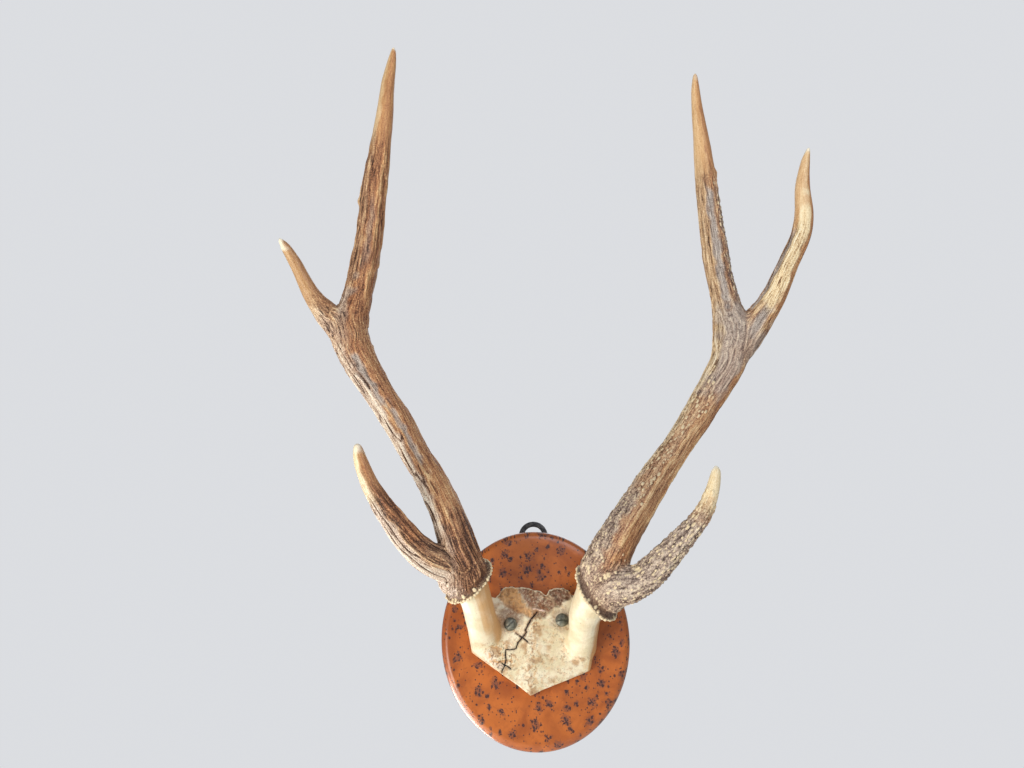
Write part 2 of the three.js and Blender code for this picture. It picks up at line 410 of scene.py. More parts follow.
def store(piece: Piece, name: str, values: Array) -> None:
    """Keeps numbers or vectors with a piece's vertices for its material to read.

    Args:
        piece: The piece.
        name: The attribute's name.
        values: One number or one row of three for each vertex.
    """
    kind, key = ("FLOAT", "value") if values.ndim == 1 else ("FLOAT_VECTOR", "vector")
    attribute = piece.data.attributes.new(name, kind, "POINT")
    attribute.data.foreach_set(key, values.astype(np.float32).ravel())


def slab(name: str, edge: Sequence[Pair], back: float, front: float) -> Piece:
    """A flat solid that lies along the wall.

    Args:
        name: The piece's name.
        edge: Its outline: right and up, in millimetres.
        back: The distance of its back from the wall.
        front: The distance of its front from the wall.

    Returns:
        The solid, at its place.
    """
    choose()
    bpy.ops.mesh.primitive_circle_add(vertices=len(edge), radius=MM, fill_type="NGON")
    piece = bpy.context.object
    piece.name = name
    for vertex, (right, up) in zip(piece.data.vertices, edge):
        vertex.co = (right * MM, -back * MM, up * MM)
    open_mesh(piece)
    bpy.ops.mesh.extrude_region_move(TRANSFORM_OT_translate={"value": (0, (back - front) * MM, 0)})
    bpy.ops.object.mode_set(mode="OBJECT")
    face_outwards(piece)
    return piece


def select_faces(piece: Piece, near: Array) -> None:
    """Goes to edit mode with only some faces selected.

    Args:
        piece: The mesh piece.
        near: For each point, whether the faces at it are selected.
    """
    open_mesh(piece, "DESELECT")
    bpy.ops.object.mode_set(mode="OBJECT")
    corners = np.empty(len(piece.data.loops), np.int32)
    piece.data.loops.foreach_get("vertex_index", corners)
    starts = np.empty(len(piece.data.polygons), np.int32)
    piece.data.polygons.foreach_get("loop_start", starts)
    piece.data.polygons.foreach_set("select", np.logical_or.reduceat(near[corners], starts))
    bpy.ops.object.mode_set(mode="EDIT")
    bpy.ops.mesh.select_mode(type="FACE")


def relax(piece: Piece, weights: Array, rounds: int) -> None:
    """Smooths a piece where its weights say.

    Args:
        piece: The piece.
        weights: How far each vertex takes part, from 0 to 1.
        rounds: How often the smoothing is repeated.
    """
    group = piece.vertex_groups.new(name="relax")
    steps = np.round(weights * RELAX_LEVELS).astype(int)
    for step in range(1, RELAX_LEVELS + 1):
        members = np.flatnonzero(steps == step).tolist()
        if members:
            group.add(members, step / RELAX_LEVELS, "REPLACE")
    modify(piece, "SMOOTH", factor=0.5, iterations=rounds, vertex_group="relax")
    piece.vertex_groups.remove(piece.vertex_groups["relax"])


def finish_piece(
    piece: Piece,
    material: bpy.types.Material,
    nodes: Iterable[str] = (),
    smooth_below: float | None = None,
) -> Piece:
    """Dresses a piece and ties it to the frame.

    Args:
        piece: The piece, at its place.
        material: Its finish.
        nodes: The CAD nodes that it stands for.
        smooth_below: The angle in degrees under which edges shade smooth, or None for all of them.

    Returns:
        The same piece.
    """
    piece.data.materials.clear()
    piece.data.materials.append(material)
    choose(piece)
    if smooth_below is None:
        bpy.ops.object.shade_smooth()
    else:
        bpy.ops.object.shade_smooth_by_angle(angle=math.radians(smooth_below))
    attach(piece, BODY)
    if nodes:
        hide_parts(*nodes)
    piece.data.calc_loop_triangles()
    log.info("%s: %d triangles", piece.name, len(piece.data.loop_triangles))
    return piece


# ---- Materials ----


def tone(red: int, green: int, blue: int) -> tuple[float, float, float, float]:
    """A screen colour from 0 to 255 as the shader's own linear colour.

    Args:
        red: The red part.
        green: The green part.
        blue: The blue part.

    Returns:
        Red, green, blue and 1, each from 0 to 1.
    """
    parts = [c / 255 for c in (red, green, blue)]
    linear = [c / 12.92 if c <= 0.04045 else ((c + 0.055) / 1.055) ** 2.4 for c in parts]
    return (*linear, 1.0)


def tones(*colours: tuple[int, int, int]) -> tuple:
    """Several screen colours, each as tone gives it."""
    return tuple(tone(*colour) for colour in colours)


class Bench:
    """Lays out the nodes of one material."""

    FRONT_TURN = 55.0  # degrees about X

    def __init__(self, name: str) -> None:
        """Starts a material with an output and one Principled shader.

        Args:
            name: The material's name.
        """
        self.material = bpy.data.materials.new(name)
        self.material.use_nodes = True
        self.tree = self.material.node_tree
        self.tree.nodes.clear()
        self.shader = self.tree.nodes.new("ShaderNodeBsdfPrincipled")
        output = self.tree.nodes.new("ShaderNodeOutputMaterial")
        self.tree.links.new(self.shader.outputs[0], output.inputs["Surface"])

    def feed(self, socket: Socket, value: Feed) -> None:
        """Links a socket to another one, or gives it a value of its own.

        Args:
            socket: The socket to fill.
            value: Another socket, or a number, vector or colour.
        """
        if isinstance(value, bpy.types.NodeSocket):
            self.tree.links.new(value, socket)
        else:
            socket.default_value = value

    def shade(self, **values: Feed) -> None:
        """Sets the shader's sockets. Underscores in a name stand for spaces."""
        for name, value in values.items():
            self.feed(self.shader.inputs[name.replace("_", " ")], value)

    def attribute(self, name: str) -> Socket:
        """A number that is kept with the piece's vertices.

        Args:
            name: The attribute's name.

        Returns:
            The number's socket.
        """
        node = self.tree.nodes.new("ShaderNodeAttribute")
        node.attribute_name = name
        return node.outputs["Fac"]

    def flow(self, name: str, stretch: Triple = (1, 1, 1)) -> Socket:
        """Coordinates that are kept with the piece's vertices, each axis scaled by stretch.

        Args:
            name: The attribute's name.
            stretch: The scale of each axis.

        Returns:
            The coordinates' socket.
        """
        node = self.tree.nodes.new("ShaderNodeAttribute")
        node.attribute_name = name
        return self.scaled(node.outputs["Vector"], stretch)

    def place(self, stretch: Triple = (1, 1, 1)) -> Socket:
        """The object's own coordinates, each axis scaled by stretch."""
        node = self.tree.nodes.new("ShaderNodeTexCoord")
        return self.scaled(node.outputs["Object"], stretch)

    def mapped(self, vector: Socket, change: str, amount: Triple) -> Socket:
        """Coordinates that are scaled or turned.

        Args:
            vector: The coordinates.
            change: Scale or Rotation.
            amount: How much, for each axis.

        Returns:
            The changed coordinates.
        """
        node = self.tree.nodes.new("ShaderNodeMapping")
        self.feed(node.inputs["Vector"], vector)
        node.inputs[change].default_value = amount
        return node.outputs[0]

    def scaled(self, vector: Socket, stretch: Triple) -> Socket:
        """Coordinates with each axis scaled by stretch."""
        return self.mapped(vector, "Scale", stretch)

    def fronting(self, vector: Socket) -> Socket:
        """Coordinates turned so that the first two run across the trophy's front."""
        return self.mapped(vector, "Rotation", (math.radians(self.FRONT_TURN), 0.0, 0.0))

    def noise(self, vector: Socket, size: float, detail: float = 2.0, twist: float = 0.0) -> Socket:
        """Cloudy noise whose blobs are about size millimetres across.

        Args:
            vector: The coordinates.
            size: The blobs' size in millimetres.
            detail: How many finer layers it has.
            twist: How much it is distorted.

        Returns:
            A number about 0.5.
        """
        node = self.tree.nodes.new("ShaderNodeTexNoise")
        self.feed(node.inputs["Vector"], vector)
        node.inputs["Scale"].default_value = 1 / (size * MM)
        node.inputs["Detail"].default_value = detail
        node.inputs["Distortion"].default_value = twist
        return node.outputs[0]

    def cells(self, vector: Socket, size: float, flat: bool = False) -> tuple[Socket, Socket]:
        """Distance from, and a random colour of, the nearest of points about size millimetres apart.

        Args:
            vector: The coordinates.
            size: The distance from point to point.
            flat: Whether it reads only the first two axes.

        Returns:
            The distance in cells, and the colour.
        """
        node = self.tree.nodes.new("ShaderNodeTexVoronoi")
        node.voronoi_dimensions = "2D" if flat else "3D"
        self.feed(node.inputs["Vector"], vector)
        node.inputs["Scale"].default_value = 1 / (size * MM)
        return node.outputs["Distance"], node.outputs["Color"]

    def math(self, operation: str, first: Feed, second: Feed = 0.0) -> Socket:
        """The result of one sum on one or two numbers.

        Args:
            operation: The sum, as the Math node names it.
            first: The first number.
            second: The second number, if the sum has one.

        Returns:
            The result.
        """
        node = self.tree.nodes.new("ShaderNodeMath")
        node.operation = operation
        self.feed(node.inputs[0], first)
        self.feed(node.inputs[1], second)
        return node.outputs[0]

    def total(self, *terms: tuple[Feed, float], start: float = 0.0) -> Socket:
        """The sum of several numbers, each times its own weight.

        Args:
            terms: Each number with its weight.
            start: A number that is added to them.

        Returns:
            The sum.
        """
        result: Feed = start
        for value, weight in terms:
            node = self.tree.nodes.new("ShaderNodeMath")
            node.operation = "MULTIPLY_ADD"
            for socket, number in zip(node.inputs, (value, weight, result)):
                self.feed(socket, number)
            result = node.outputs[0]
        return result

    def centred(self, value: Socket) -> Socket:
        """Noise moved so that it swings about 0."""
        return self.math("SUBTRACT", value, 0.5)

    def blend(self, share: Feed, first: Feed, second: Feed) -> Socket:
        """A mix of two numbers, all of the second where share is 1.

        Args:
            share: The share of the second.
            first: The number where share is 0.
            second: The number where share is 1.

        Returns:
            The mixed number.
        """
        node = self.tree.nodes.new("ShaderNodeMix")
        for socket, value in zip(node.inputs[:1] + node.inputs[2:4], (share, first, second)):
            self.feed(socket, value)
        return node.outputs[0]

    def step(self, value: Feed, low: float, high: float, start: float = 0.0, end: float = 1.0) -> Socket:
        """A number that goes smoothly from start, where value is low, to end, where it is high.

        Args:
            value: The number to map.
            low: Where the step begins.
            high: Where it ends.
            start: The result at low.
            end: The result at high.

        Returns:
            The mapped number.
        """
        node = self.tree.nodes.new("ShaderNodeMapRange")
        node.interpolation_type = "SMOOTHSTEP"
        for name, number in (("From Min", low), ("From Max", high), ("To Min", start), ("To Max", end)):
            node.inputs[name].default_value = number
        self.feed(node.inputs["Value"], value)
        return node.outputs[0]

    def ramp(self, value: Socket, stops: Sequence[tuple[float, tuple]]) -> Socket:
        """A colour read off a ramp of stops, each a position and a colour.

        Args:
            value: The place on the ramp, from 0 to 1.
            stops: The positions and their colours.

        Returns:
            The colour.
        """
        node = self.tree.nodes.new("ShaderNodeValToRGB")
        ramp = node.color_ramp
        while len(ramp.elements) < len(stops):
            ramp.elements.new(1.0)
        for element, (position, colour) in zip(ramp.elements, stops):
            element.position = position
            element.color = colour
        self.feed(node.inputs[0], value)
        return node.outputs[0]

    def mix(self, share: Feed, first: Feed, second: Feed, blend: str = "MIX") -> Socket:
        """A mix of two colours, all of the second where share is 1.

        Args:
            share: The share of the second.
            first: The colour where share is 0.
            second: The colour where share is 1.
            blend: How they mix, as the Mix node names it.

        Returns:
            The mixed colour.
        """
        node = self.tree.nodes.new("ShaderNodeMix")
        node.data_type = "RGBA"
        node.blend_type = blend
        self.feed(node.inputs[0], share)
        self.feed(node.inputs[6], first)
        self.feed(node.inputs[7], second)
        return node.outputs[2]

    def bump(self, height: Socket, depth: float, under: Socket | None = None) -> Socket:
        """Normals bent as if the surface rose by depth millimetres where height is 1.

        Args:
            height: The height from 0 to 1.
            depth: How high 1 is.
            under: Normals that are already bent, if there are any.

        Returns:
            The bent normals.
        """
        node = self.tree.nodes.new("ShaderNodeBump")
        node.inputs["Distance"].default_value = depth * MM
        self.feed(node.inputs["Height"], height)
        if under is not None:
            self.feed(node.inputs["Normal"], under)
        return node.outputs[0]


@dataclass(frozen=True)
class AntlerFinish:
    """Antler from dark channels to pale crests, with cream pearls and smooth tan tips. It carries painted
    shade round the pearls, between the burr's beads and in the groove above them, and painted light on its
    pale left sides.

    Each range of colours goes from the channels to the crests.
    """

    name: str
    brown: tuple = tones((58, 38, 27), (120, 86, 62), (156, 116, 86), (190, 150, 110), (228, 200, 156))
    warm: tuple = tones((84, 50, 31), (150, 98, 64), (178, 122, 82), (206, 156, 104), (234, 200, 148))
    grey: tuple = tones((96, 84, 76), (140, 126, 115), (168, 155, 144), (192, 180, 168), (220, 208, 190))
    grainy: tuple = tones((80, 60, 50), (146, 125, 110), (184, 163, 144), (212, 193, 168), (236, 222, 192))
    # pale rubbed antler, brighter still as painted light on the lit left side
    pale: tuple = tones((92, 66, 48), (166, 138, 110), (206, 184, 156), (228, 210, 182), (243, 233, 208))
    horn: tuple = tones((142, 96, 60), (180, 132, 88), (202, 156, 106), (218, 178, 128), (234, 204, 158))
    cream: tuple = tones((196, 156, 104), (222, 194, 146), (238, 216, 172), (246, 230, 192), (250, 240, 212))
    point: tuple = tone(248, 238, 212)
    pearl: tuple = tone(230, 210, 170)
    # colour of the painted shade in the groove above the burr's beads
    painted_band_shade: tuple = tone(92, 62, 46)

    def material(self) -> bpy.types.Material:
        """Makes the material.

        Returns:
            The material, which reads the antler's own attributes.
        """
        bench = Bench(self.name)
        place = bench.place()
        streak = bench.noise(bench.flow("grain", (1, 1, 0.06)), 1.0, 2)
        thread = bench.noise(bench.flow("grain", (1, 1, 0.05)), 3.4, 1)
        broad = bench.noise(bench.flow("grain", (1, 1, 0.25)), 12, 3)
        fleck = bench.noise(place, 1.1, 3)
        thin = bench.step(bench.math("ABSOLUTE", bench.centred(thread)), 0.03, 0.0)
        coarse = bench.noise(bench.flow("grain", (1, 1, 0.45)), 2.8, 4)
        pits = bench.step(bench.noise(place, 1.7, 2), 0.4, 0.3)
        granular = bench.attribute("granular")
        tip = bench.attribute("tip")
        warm = bench.attribute("warm")
        pale = bench.attribute("pale")

        lined = bench.total(
            (bench.centred(streak), 1.15),
            (bench.centred(broad), 0.45),
            (bench.centred(fleck), 1.15),
            (thin, 0.14),
        )
        grained = bench.total((bench.centred(fleck), 1.2), (bench.centred(coarse), 1.7), (pits, -0.25))
        fine = bench.blend(granular, lined, grained)
        level = bench.total(
            (fine, 1.2),
            (bench.attribute("relief"), 0.32),
            (bench.attribute("slit"), -0.8),
            (bench.attribute("dark"), -0.32),
            # painted shade round the pearls and in the gaps between the burr's beads
            (bench.attribute("painted_bead_shade"), -0.24),
            start=0.43,
        )
        shade = self._range(bench, level, self.brown)
        shade = bench.mix(warm, shade, self._range(bench, level, self.warm))
        shade = bench.mix(granular, shade, self._range(bench, level, self.grainy))
        shade = bench.mix(bench.attribute("grey"), shade, self._range(bench, level, self.grey))
        # pale zones: rubbed antler with painted light on the lit left side
        shade = bench.mix(pale, shade, self._range(bench, level, self.pale))
        calm = bench.total(
            (bench.centred(streak), 0.7), (bench.centred(fleck), 0.8), (bench.centred(broad), 0.5), start=0.5
        )
        horn = bench.mix(warm, self._range(bench, calm, self.horn), self._range(bench, calm, self.warm))
        # the pale zones' painted light reaches into the tips as cream
        horn = bench.mix(pale, horn, self._range(bench, calm, self.cream))
        shade = bench.mix(tip, shade, bench.mix(bench.attribute("point"), horn, self.point))
        pearl = bench.total((bench.attribute("pearl"), 1.0), (bench.centred(fleck), 0.7))
        shade = bench.mix(bench.step(pearl, 0.25, 0.7), shade, self.pearl)
        # painted shade in the groove above the burr's beads
        shade = bench.mix(bench.attribute("painted_band_shade"), shade, self.painted_band_shade)

        worn = bench.math("MULTIPLY", tip, 0.14)
        rough = bench.math("SUBTRACT", bench.step(coarse, 0.3, 0.7, 0.46, 0.64), worn)
        height = bench.math("MULTIPLY", fine, bench.step(tip, 0.0, 1.0, 1.0, 0.3))
        bench.shade(Base_Color=shade, Roughness=rough, Normal=bench.bump(height, 0.46))
        bench.shade(Specular_IOR_Level=0.35)
        return bench.material

    @staticmethod
    def _range(bench: Bench, level: Socket, colours: Sequence[tuple]) -> Socket:
        """One of the finish's ranges of colour, read by level."""
        return bench.ramp(level, list(zip((0.04, 0.27, 0.45, 0.68, 0.92), colours)))


@dataclass(frozen=True)
class BoneFinish:
    """Dry cream bone with brown stains, small pores and dark open sutures, and tan painted shade on its
    right-facing sides.
    """

    name: str
    cream: tuple = tone(240, 230, 201)
    dull: tuple = tone(222, 208, 170)
    # tan of sawn and broken bone, also laid on right-facing sides as painted shade
    tan: tuple = tone(212, 164, 108)
    stain: tuple = tone(116, 63, 35)
    ash: tuple = tone(92, 72, 52)
    rose: tuple = tone(236, 208, 192)
    soil: tuple = tone(176, 136, 94)
    fleck: tuple = tone(128, 92, 58)
    crack: tuple = tone(26, 17, 13)

    def material(self) -> bpy.types.Material:
        """Makes the material.

        Returns:
            The material, which reads the skull plate's own attributes.
        """
        bench = Bench(self.name)
        place = bench.place()
        cloud = bench.noise(place, 13, 4)
        fine = bench.noise(place, 1.1, 4)
        pores = bench.noise(place, 1.7, 5, 0.6)
        shade = bench.mix(bench.step(cloud, 0.38, 0.62, 0.1, 0.9), self.cream, self.dull)
        # the kept shade: real tan of sawn and broken faces with painted shade on right-facing sides
        tan_and_painted_shade = bench.total((bench.attribute("shade"), 1.0), (bench.centred(cloud), 0.5))
        shade = bench.mix(bench.step(tan_and_painted_shade, 0.05, 0.95), shade, self.tan)
        shade = bench.mix(bench.attribute("rose"), shade, self.rose)
        porous = bench.attribute("porous")
        holes = bench.math("MULTIPLY", porous, bench.step(pores, 0.55, 0.63, 0.0, 0.85))
        mottle = bench.step(bench.noise(place, 4.2, 5, 0.4), 0.46, 0.6, 0.0, 0.9)
        shade = bench.mix(bench.math("MULTIPLY", porous, mottle), shade, self.tan)
        soiled = bench.step(bench.noise(place, 9, 5, 0.6), 0.5, 0.64, 0.0, 0.75)
        shade = bench.mix(bench.math("MULTIPLY", bench.step(porous, 0.1, 0.6), soiled), shade, self.soil)
        shade = bench.mix(holes, shade, self.fleck)
        specks = bench.step(bench.noise(place, 1.5, 2), 0.7, 0.76, 0.0, 0.6)
        shade = bench.mix(specks, shade, self.fleck)
        for name, colour in (("ash", self.ash), ("stain", self.stain)):
            soaked = bench.math("MULTIPLY", bench.attribute(name), bench.step(pores, 0.3, 0.55, 0.5, 1.0))
            shade = bench.mix(soaked, shade, colour)
        ragged = bench.total((bench.attribute("crack"), 1.0), (bench.centred(fine), 0.9))
        open_crack = bench.step(ragged, 0.6, 0.34)
        shade = bench.mix(bench.step(ragged, 2.4, 0.7, 0.0, 0.4), shade, self.fleck)
        shade = bench.mix(open_crack, shade, self.crack)
        rough = bench.step(cloud, 0.3, 0.7, 0.48, 0.66)
        height = bench.total((fine, 0.5), (holes, -1.0), (open_crack, -2.0), (pores, 0.5))
        bench.shade(Base_Color=shade, Roughness=rough, Normal=bench.bump(height, 0.4))
        bench.shade(Subsurface_Weight=0.06, Subsurface_Radius=(0.004, 0.003, 0.002))
        return bench.material


@dataclass(frozen=True)
class WoodFinish:
    """Satin orange-brown burr wood with clusters of small dark purple-grey eyes."""

    name: str
    light: tuple = tone(190, 105, 44)
    deep: tuple = tone(158, 82, 34)
    haze: tuple = tone(106, 66, 56)
    eye: tuple = tone(54, 36, 38)

    def material(self) -> bpy.types.Material:
        """Makes the material.

        Returns:
            The material, in the plaque's own coordinates.
        """
        bench = Bench(self.name)
        place = bench.place()
        swirl = bench.noise(place, 34, 5, 1.4)
        mottle = bench.noise(place, 5, 4, 0.8)
        pores = bench.noise(place, 0.9, 3)
        colour = bench.mix(bench.step(swirl, 0.36, 0.66), self.light, self.deep)
        colour = bench.mix(bench.step(mottle, 0.5, 0.75, 0.0, 0.6), colour, self.deep)

        ragged = bench.noise(place, 3.2, 4, 0.6)
        cluster: Feed = 0.0
        for size, reach, kept in ((16.0, 0.26, 0.7), (9.0, 0.26, 0.35)):
            blotch = self._eyes(bench, place, size, (reach - 0.08, reach + 0.06), kept, ragged, 0.9)
            cluster = bench.math("MAXIMUM", cluster, blotch)
        haze = bench.math("MULTIPLY", cluster, bench.step(ragged, 0.36, 0.62, 0.4, 0.95))
        colour = bench.mix(haze, colour, self.haze)
        eyes: Feed = 0.0
        for size, least, most, alone, crowded in (
            (1.8, 0.26, 0.5, 0.1, 0.55),
            (3.2, 0.28, 0.52, 0.04, 0.8),
            (9.0, 0.1, 0.18, 0.25, 0.25),
        ):
            kept = bench.total((cluster, crowded - alone), start=alone)
            wobble = bench.noise(place, 0.35 * size, 2)
            more = self._eyes(bench, place, size, (least, most), kept, wobble, 0.3)
            eyes = bench.math("MAXIMUM", eyes, more)
        dark = bench.math("MULTIPLY", eyes, bench.step(pores, 0.3, 0.6, 0.7, 1.0))
        colour = bench.mix(dark, colour, self.eye)
        colour = bench.mix(bench.step(pores, 0.62, 0.76, 0.0, 0.5), colour, self.deep)

        rough = bench.total((eyes, 0.1), (bench.step(mottle, 0.3, 0.7, 0.3, 0.4), 1.0))
        height = bench.total((pores, 0.25), (eyes, -1.0))
        bench.shade(Base_Color=colour, Roughness=rough, Normal=bench.bump(height, 0.12))
        bench.shade(Coat_Weight=0.85, Coat_Roughness=0.24, Specular_IOR_Level=0.2)
        return bench.material

    @staticmethod
    def _eyes(
        bench: Bench, place: Socket, size: float, share: Pair, kept: Feed, wobble: Socket, ragged: float
    ) -> Socket:
        """Small dark eyes, of which only a share is kept.

        Args:
            bench: The material's bench.
            place: The coordinates.
            size: How far apart the eyes stand in millimetres.
            share: Where an eye's edge begins and ends, as shares of size.
            kept: The share of the eyes that are there.
            wobble: Noise that makes their edges uneven.
            ragged: How uneven they are.

        Returns:
            1 in an eye and 0 outside.
        """
        distance, chance = bench.cells(bench.fronting(place), size, flat=True)
        split = bench.tree.nodes.new("ShaderNodeSeparateColor")
        bench.feed(split.inputs[0], chance)
        there = bench.step(bench.math("ADD", split.outputs[0], kept), 1.0, 1.03)
        grown = bench.total((distance, 1.0), (bench.centred(wobble), ragged), (split.outputs[1], 0.12))
        return bench.math("MULTIPLY", bench.step(grown, share[1], share[0]), there)


@dataclass(frozen=True)
class SteelFinish:
    """Dull old steel, darker in places, with its bright metal showing a little."""

    name: str
    dark: tuple
    worn: tuple
    metal: float
    rough: float
    rust: tuple = tone(120, 78, 46)

    def material(self) -> bpy.types.Material:
        """Makes the material.

        Returns:
            The material, in the piece's own coordinates.
        """
        bench = Bench(self.name)
        place = bench.place()
        cloud = bench.noise(place, 3.0, 5)
        fine = bench.noise(place, 0.8, 3)
        colour = bench.mix(bench.step(cloud, 0.4, 0.66), self.dark, self.worn)
        colour = bench.mix(bench.step(fine, 0.64, 0.72, 0.0, 0.55), colour, self.rust)
        rough = bench.step(fine, 0.3, 0.7, self.rough - 0.08, self.rough + 0.12)
        bench.shade(Base_Color=colour, Roughness=rough, Metallic=self.metal)
        bench.shade(Normal=bench.bump(bench.math("ADD", cloud, fine), 0.1))
        return bench.material


# ---- Antlers ----


class Side(Enum):
    """Which antler, as the viewer sees it."""

    LEFT = "left"
    RIGHT = "right"


class Tine(Enum):
    """The lines that an antler grows along. The stem is pedicle, beam and inner top tine in one."""

    STEM = "stem"
    OUTER = "outer_tine"
    BROW = "brow_tine"


class Look(Enum):
    """What a patch of an antler's surface is like."""

    # pale rubbed antler, with painted light where it lies on the lit left side
    PALE = "pale"
    WARM = "warm"
    GREY = "grey"
    DARK = "dark"
    GRANULAR = "granular"
    PEARLED = "pearled"
    SMOOTH = "smooth"
    RIDGED = "ridged"
    GROOVED = "grooved"


@dataclass(frozen=True)
class Patch:
    """A stretch of one tine with a look of its own.

    Angles are round the tine in degrees: 0 faces the viewer and 90 the viewer's right.
    """

    look: Look
    tine: Tine
    start: float  # station where it begins
    end: float  # station where it ends
    angle: float = 0.0
    spread: float = 180.0  # degrees to either side of the angle
    amount: float = 1.0


def patches(rows: dict[tuple[Look, Tine], list[tuple[float, ...]]]) -> tuple[Patch, ...]:
    """Makes patches of rows of start, end, angle, spread and amount."""
    return tuple(Patch(*kind, *row) for kind in rows for row in rows[kind])


class Route:
    """The smooth line of a tine with its radius, sampled closely."""

    STEPS = 24  # samples from one station to the next

    def __init__(self, stations: Sequence[Station]) -> None:
        """Samples the line through its stations.

        Args:
            stations: Right, distance from the wall, up and radius, in millimetres.
        """
        knots = np.array(stations, float)
        places = np.stack([knots[:, 0], -knots[:, 1], knots[:, 2]], axis=1)
        self.station = np.linspace(0, len(knots) - 1, self.STEPS * (len(knots) - 1) + 1)
        self.centre = np.array([self._on_line(places, t) for t in self.station])
        radii = np.pad(knots[:, 3], 1, mode="reflect", reflect_type="odd")
        self.radius = np.array([self._on_curve(radii, t) for t in self.station])
        gaps = np.linalg.norm(np.diff(self.centre, axis=0), axis=1)
        self.along = np.concatenate([[0.0], np.cumsum(gaps)])
        tangent = np.gradient(self.centre, self.along, axis=0)
        self.tangent = tangent / np.linalg.norm(tangent, axis=1)[:, None]
        front = np.array([0.0, -1.0, 0.0]) + self.tangent[:, 1:2] * self.tangent
        self.front = front / np.linalg.norm(front, axis=1)[:, None]
        self.side = np.cross(self.tangent, self.front)

    @staticmethod
    def _on_line(places: Array, t: float) -> Array:
        """The point at station t of a centripetal Catmull-Rom line through places.

        Args:
            places: The line's stations.
            t: A station, with fractions between two.

        Returns:
            The point.
        """
        i = min(int(t), len(places) - 2)
        share = t - i
        p1, p2 = places[i], places[i + 1]
        p0 = places[i - 1] if i > 0 else 2 * p1 - p2
        p3 = places[i + 2] if i + 2 < len(places) else 2 * p2 - p1
        d0, d1, d2 = (math.sqrt(np.linalg.norm(b - a)) for a, b in ((p0, p1), (p1, p2), (p2, p3)))
        leave = ((p1 - p0) / d0 - (p2 - p0) / (d0 + d1) + (p2 - p1) / d1) * d1
        reach = ((p2 - p1) / d1 - (p3 - p1) / (d1 + d2) + (p3 - p2) / d2) * d1
        bend = -3 * p1 + 3 * p2 - 2 * leave - reach
        twist = 2 * p1 - 2 * p2 + leave + reach
        return p1 + share * (leave + share * (bend + share * twist))

    @staticmethod
    def _on_curve(values: Array, t: float) -> float:
        """The number at station t of a uniform Catmull-Rom curve. Values have one more at each end.

        Args:
            values: The stations' numbers.
            t: A station, with fractions between two.

        Returns:
            The number.
        """
        i = min(int(t), len(values) - 4)
        share = t - i
        v0, v1, v2, v3 = values[i : i + 4]
        leave, reach = (v2 - v0) / 2, (v3 - v1) / 2
        bend = -3 * v1 + 3 * v2 - 2 * leave - reach
        return float(v1 + share * (leave + share * (bend + share * (2 * v1 - 2 * v2 + leave + reach))))

    def along_at(self, station: float) -> float:
        """The distance along the line of a station."""
        return float(np.interp(station, self.station, self.along))

    def tube(self, name: str, start: float, end: float) -> Piece:
        """A round tapering body along part of the line.

        Args:
            name: The piece's name.
            start: The station where it begins.
            end: The station where it ends.

        Returns:
            The piece, a closed mesh.
        """
        kept = (self.station >= start) & (self.station <= end)
        centres, radii = self.centre[kept] * MM, self.radius[kept] * MM
        choose()
        bpy.ops.curve.primitive_nurbs_path_add()
        piece = bpy.context.object
        piece.name = name
        curve = piece.data
        curve.splines.clear()
        spline = curve.splines.new("POLY")
        spline.points.add(len(centres) - 1)
        for point, centre, radius in zip(spline.points, centres, radii):
            point.co = (*centre, 1.0)
            point.radius = radius
        curve.dimensions = "3D"
        curve.bevel_depth = 1.0
        curve.bevel_resolution = 10
        curve.use_fill_caps = True
        choose(piece)
        bpy.ops.object.convert(target="MESH")
        return bpy.context.object


@dataclass
class Reading:
    """Where the points of a surface lie beside one route. Lengths are millimetres."""

    station: Array
    along: Array
    front: Array  # towards the viewer from the line
    side: Array  # to the viewer's right of the line
    excess: Array  # outside the round body, or inside it if below 0

    BLOCK = 4096  # points that are read at a time

    @property
    def angle(self) -> Array:
        """Degrees round the line: 0 faces the viewer and 90 the viewer's right."""
        return np.degrees(np.arctan2(self.side, self.front))

    @classmethod
    def of(cls, points: Array, route: Route) -> "Reading":
        """Reads every point against a route.

        Args:
            points: Places in millimetres.
            route: The line to read them against.

        Returns:
            The readings, in the order of the points.
        """
        nearest = np.empty(len(points), int)
        for first in range(0, len(points), cls.BLOCK):
            part = points[first : first + cls.BLOCK]
            gaps = ((part[:, None, :] - route.centre[None, :, :]) ** 2).sum(2)
            nearest[first : first + cls.BLOCK] = (gaps - (0.6 * route.radius**2)[None, :]).argmin(1)
        away = points - route.centre[nearest]
        slip = np.einsum("ij,ij->i", away, route.tangent[nearest])
        along = route.along[nearest] + slip
        front = np.einsum("ij,ij->i", away, route.front[nearest])
        side = np.einsum("ij,ij->i", away, route.side[nearest])
        beyond = np.maximum(0.0, np.maximum(-along, along - route.along[-1]))
        reach = np.sqrt(front**2 + side**2 + beyond**2)
        radius = np.interp(along, route.along, route.radius)
        return cls(np.interp(along, route.along, route.station), along, front, side, reach - radius)


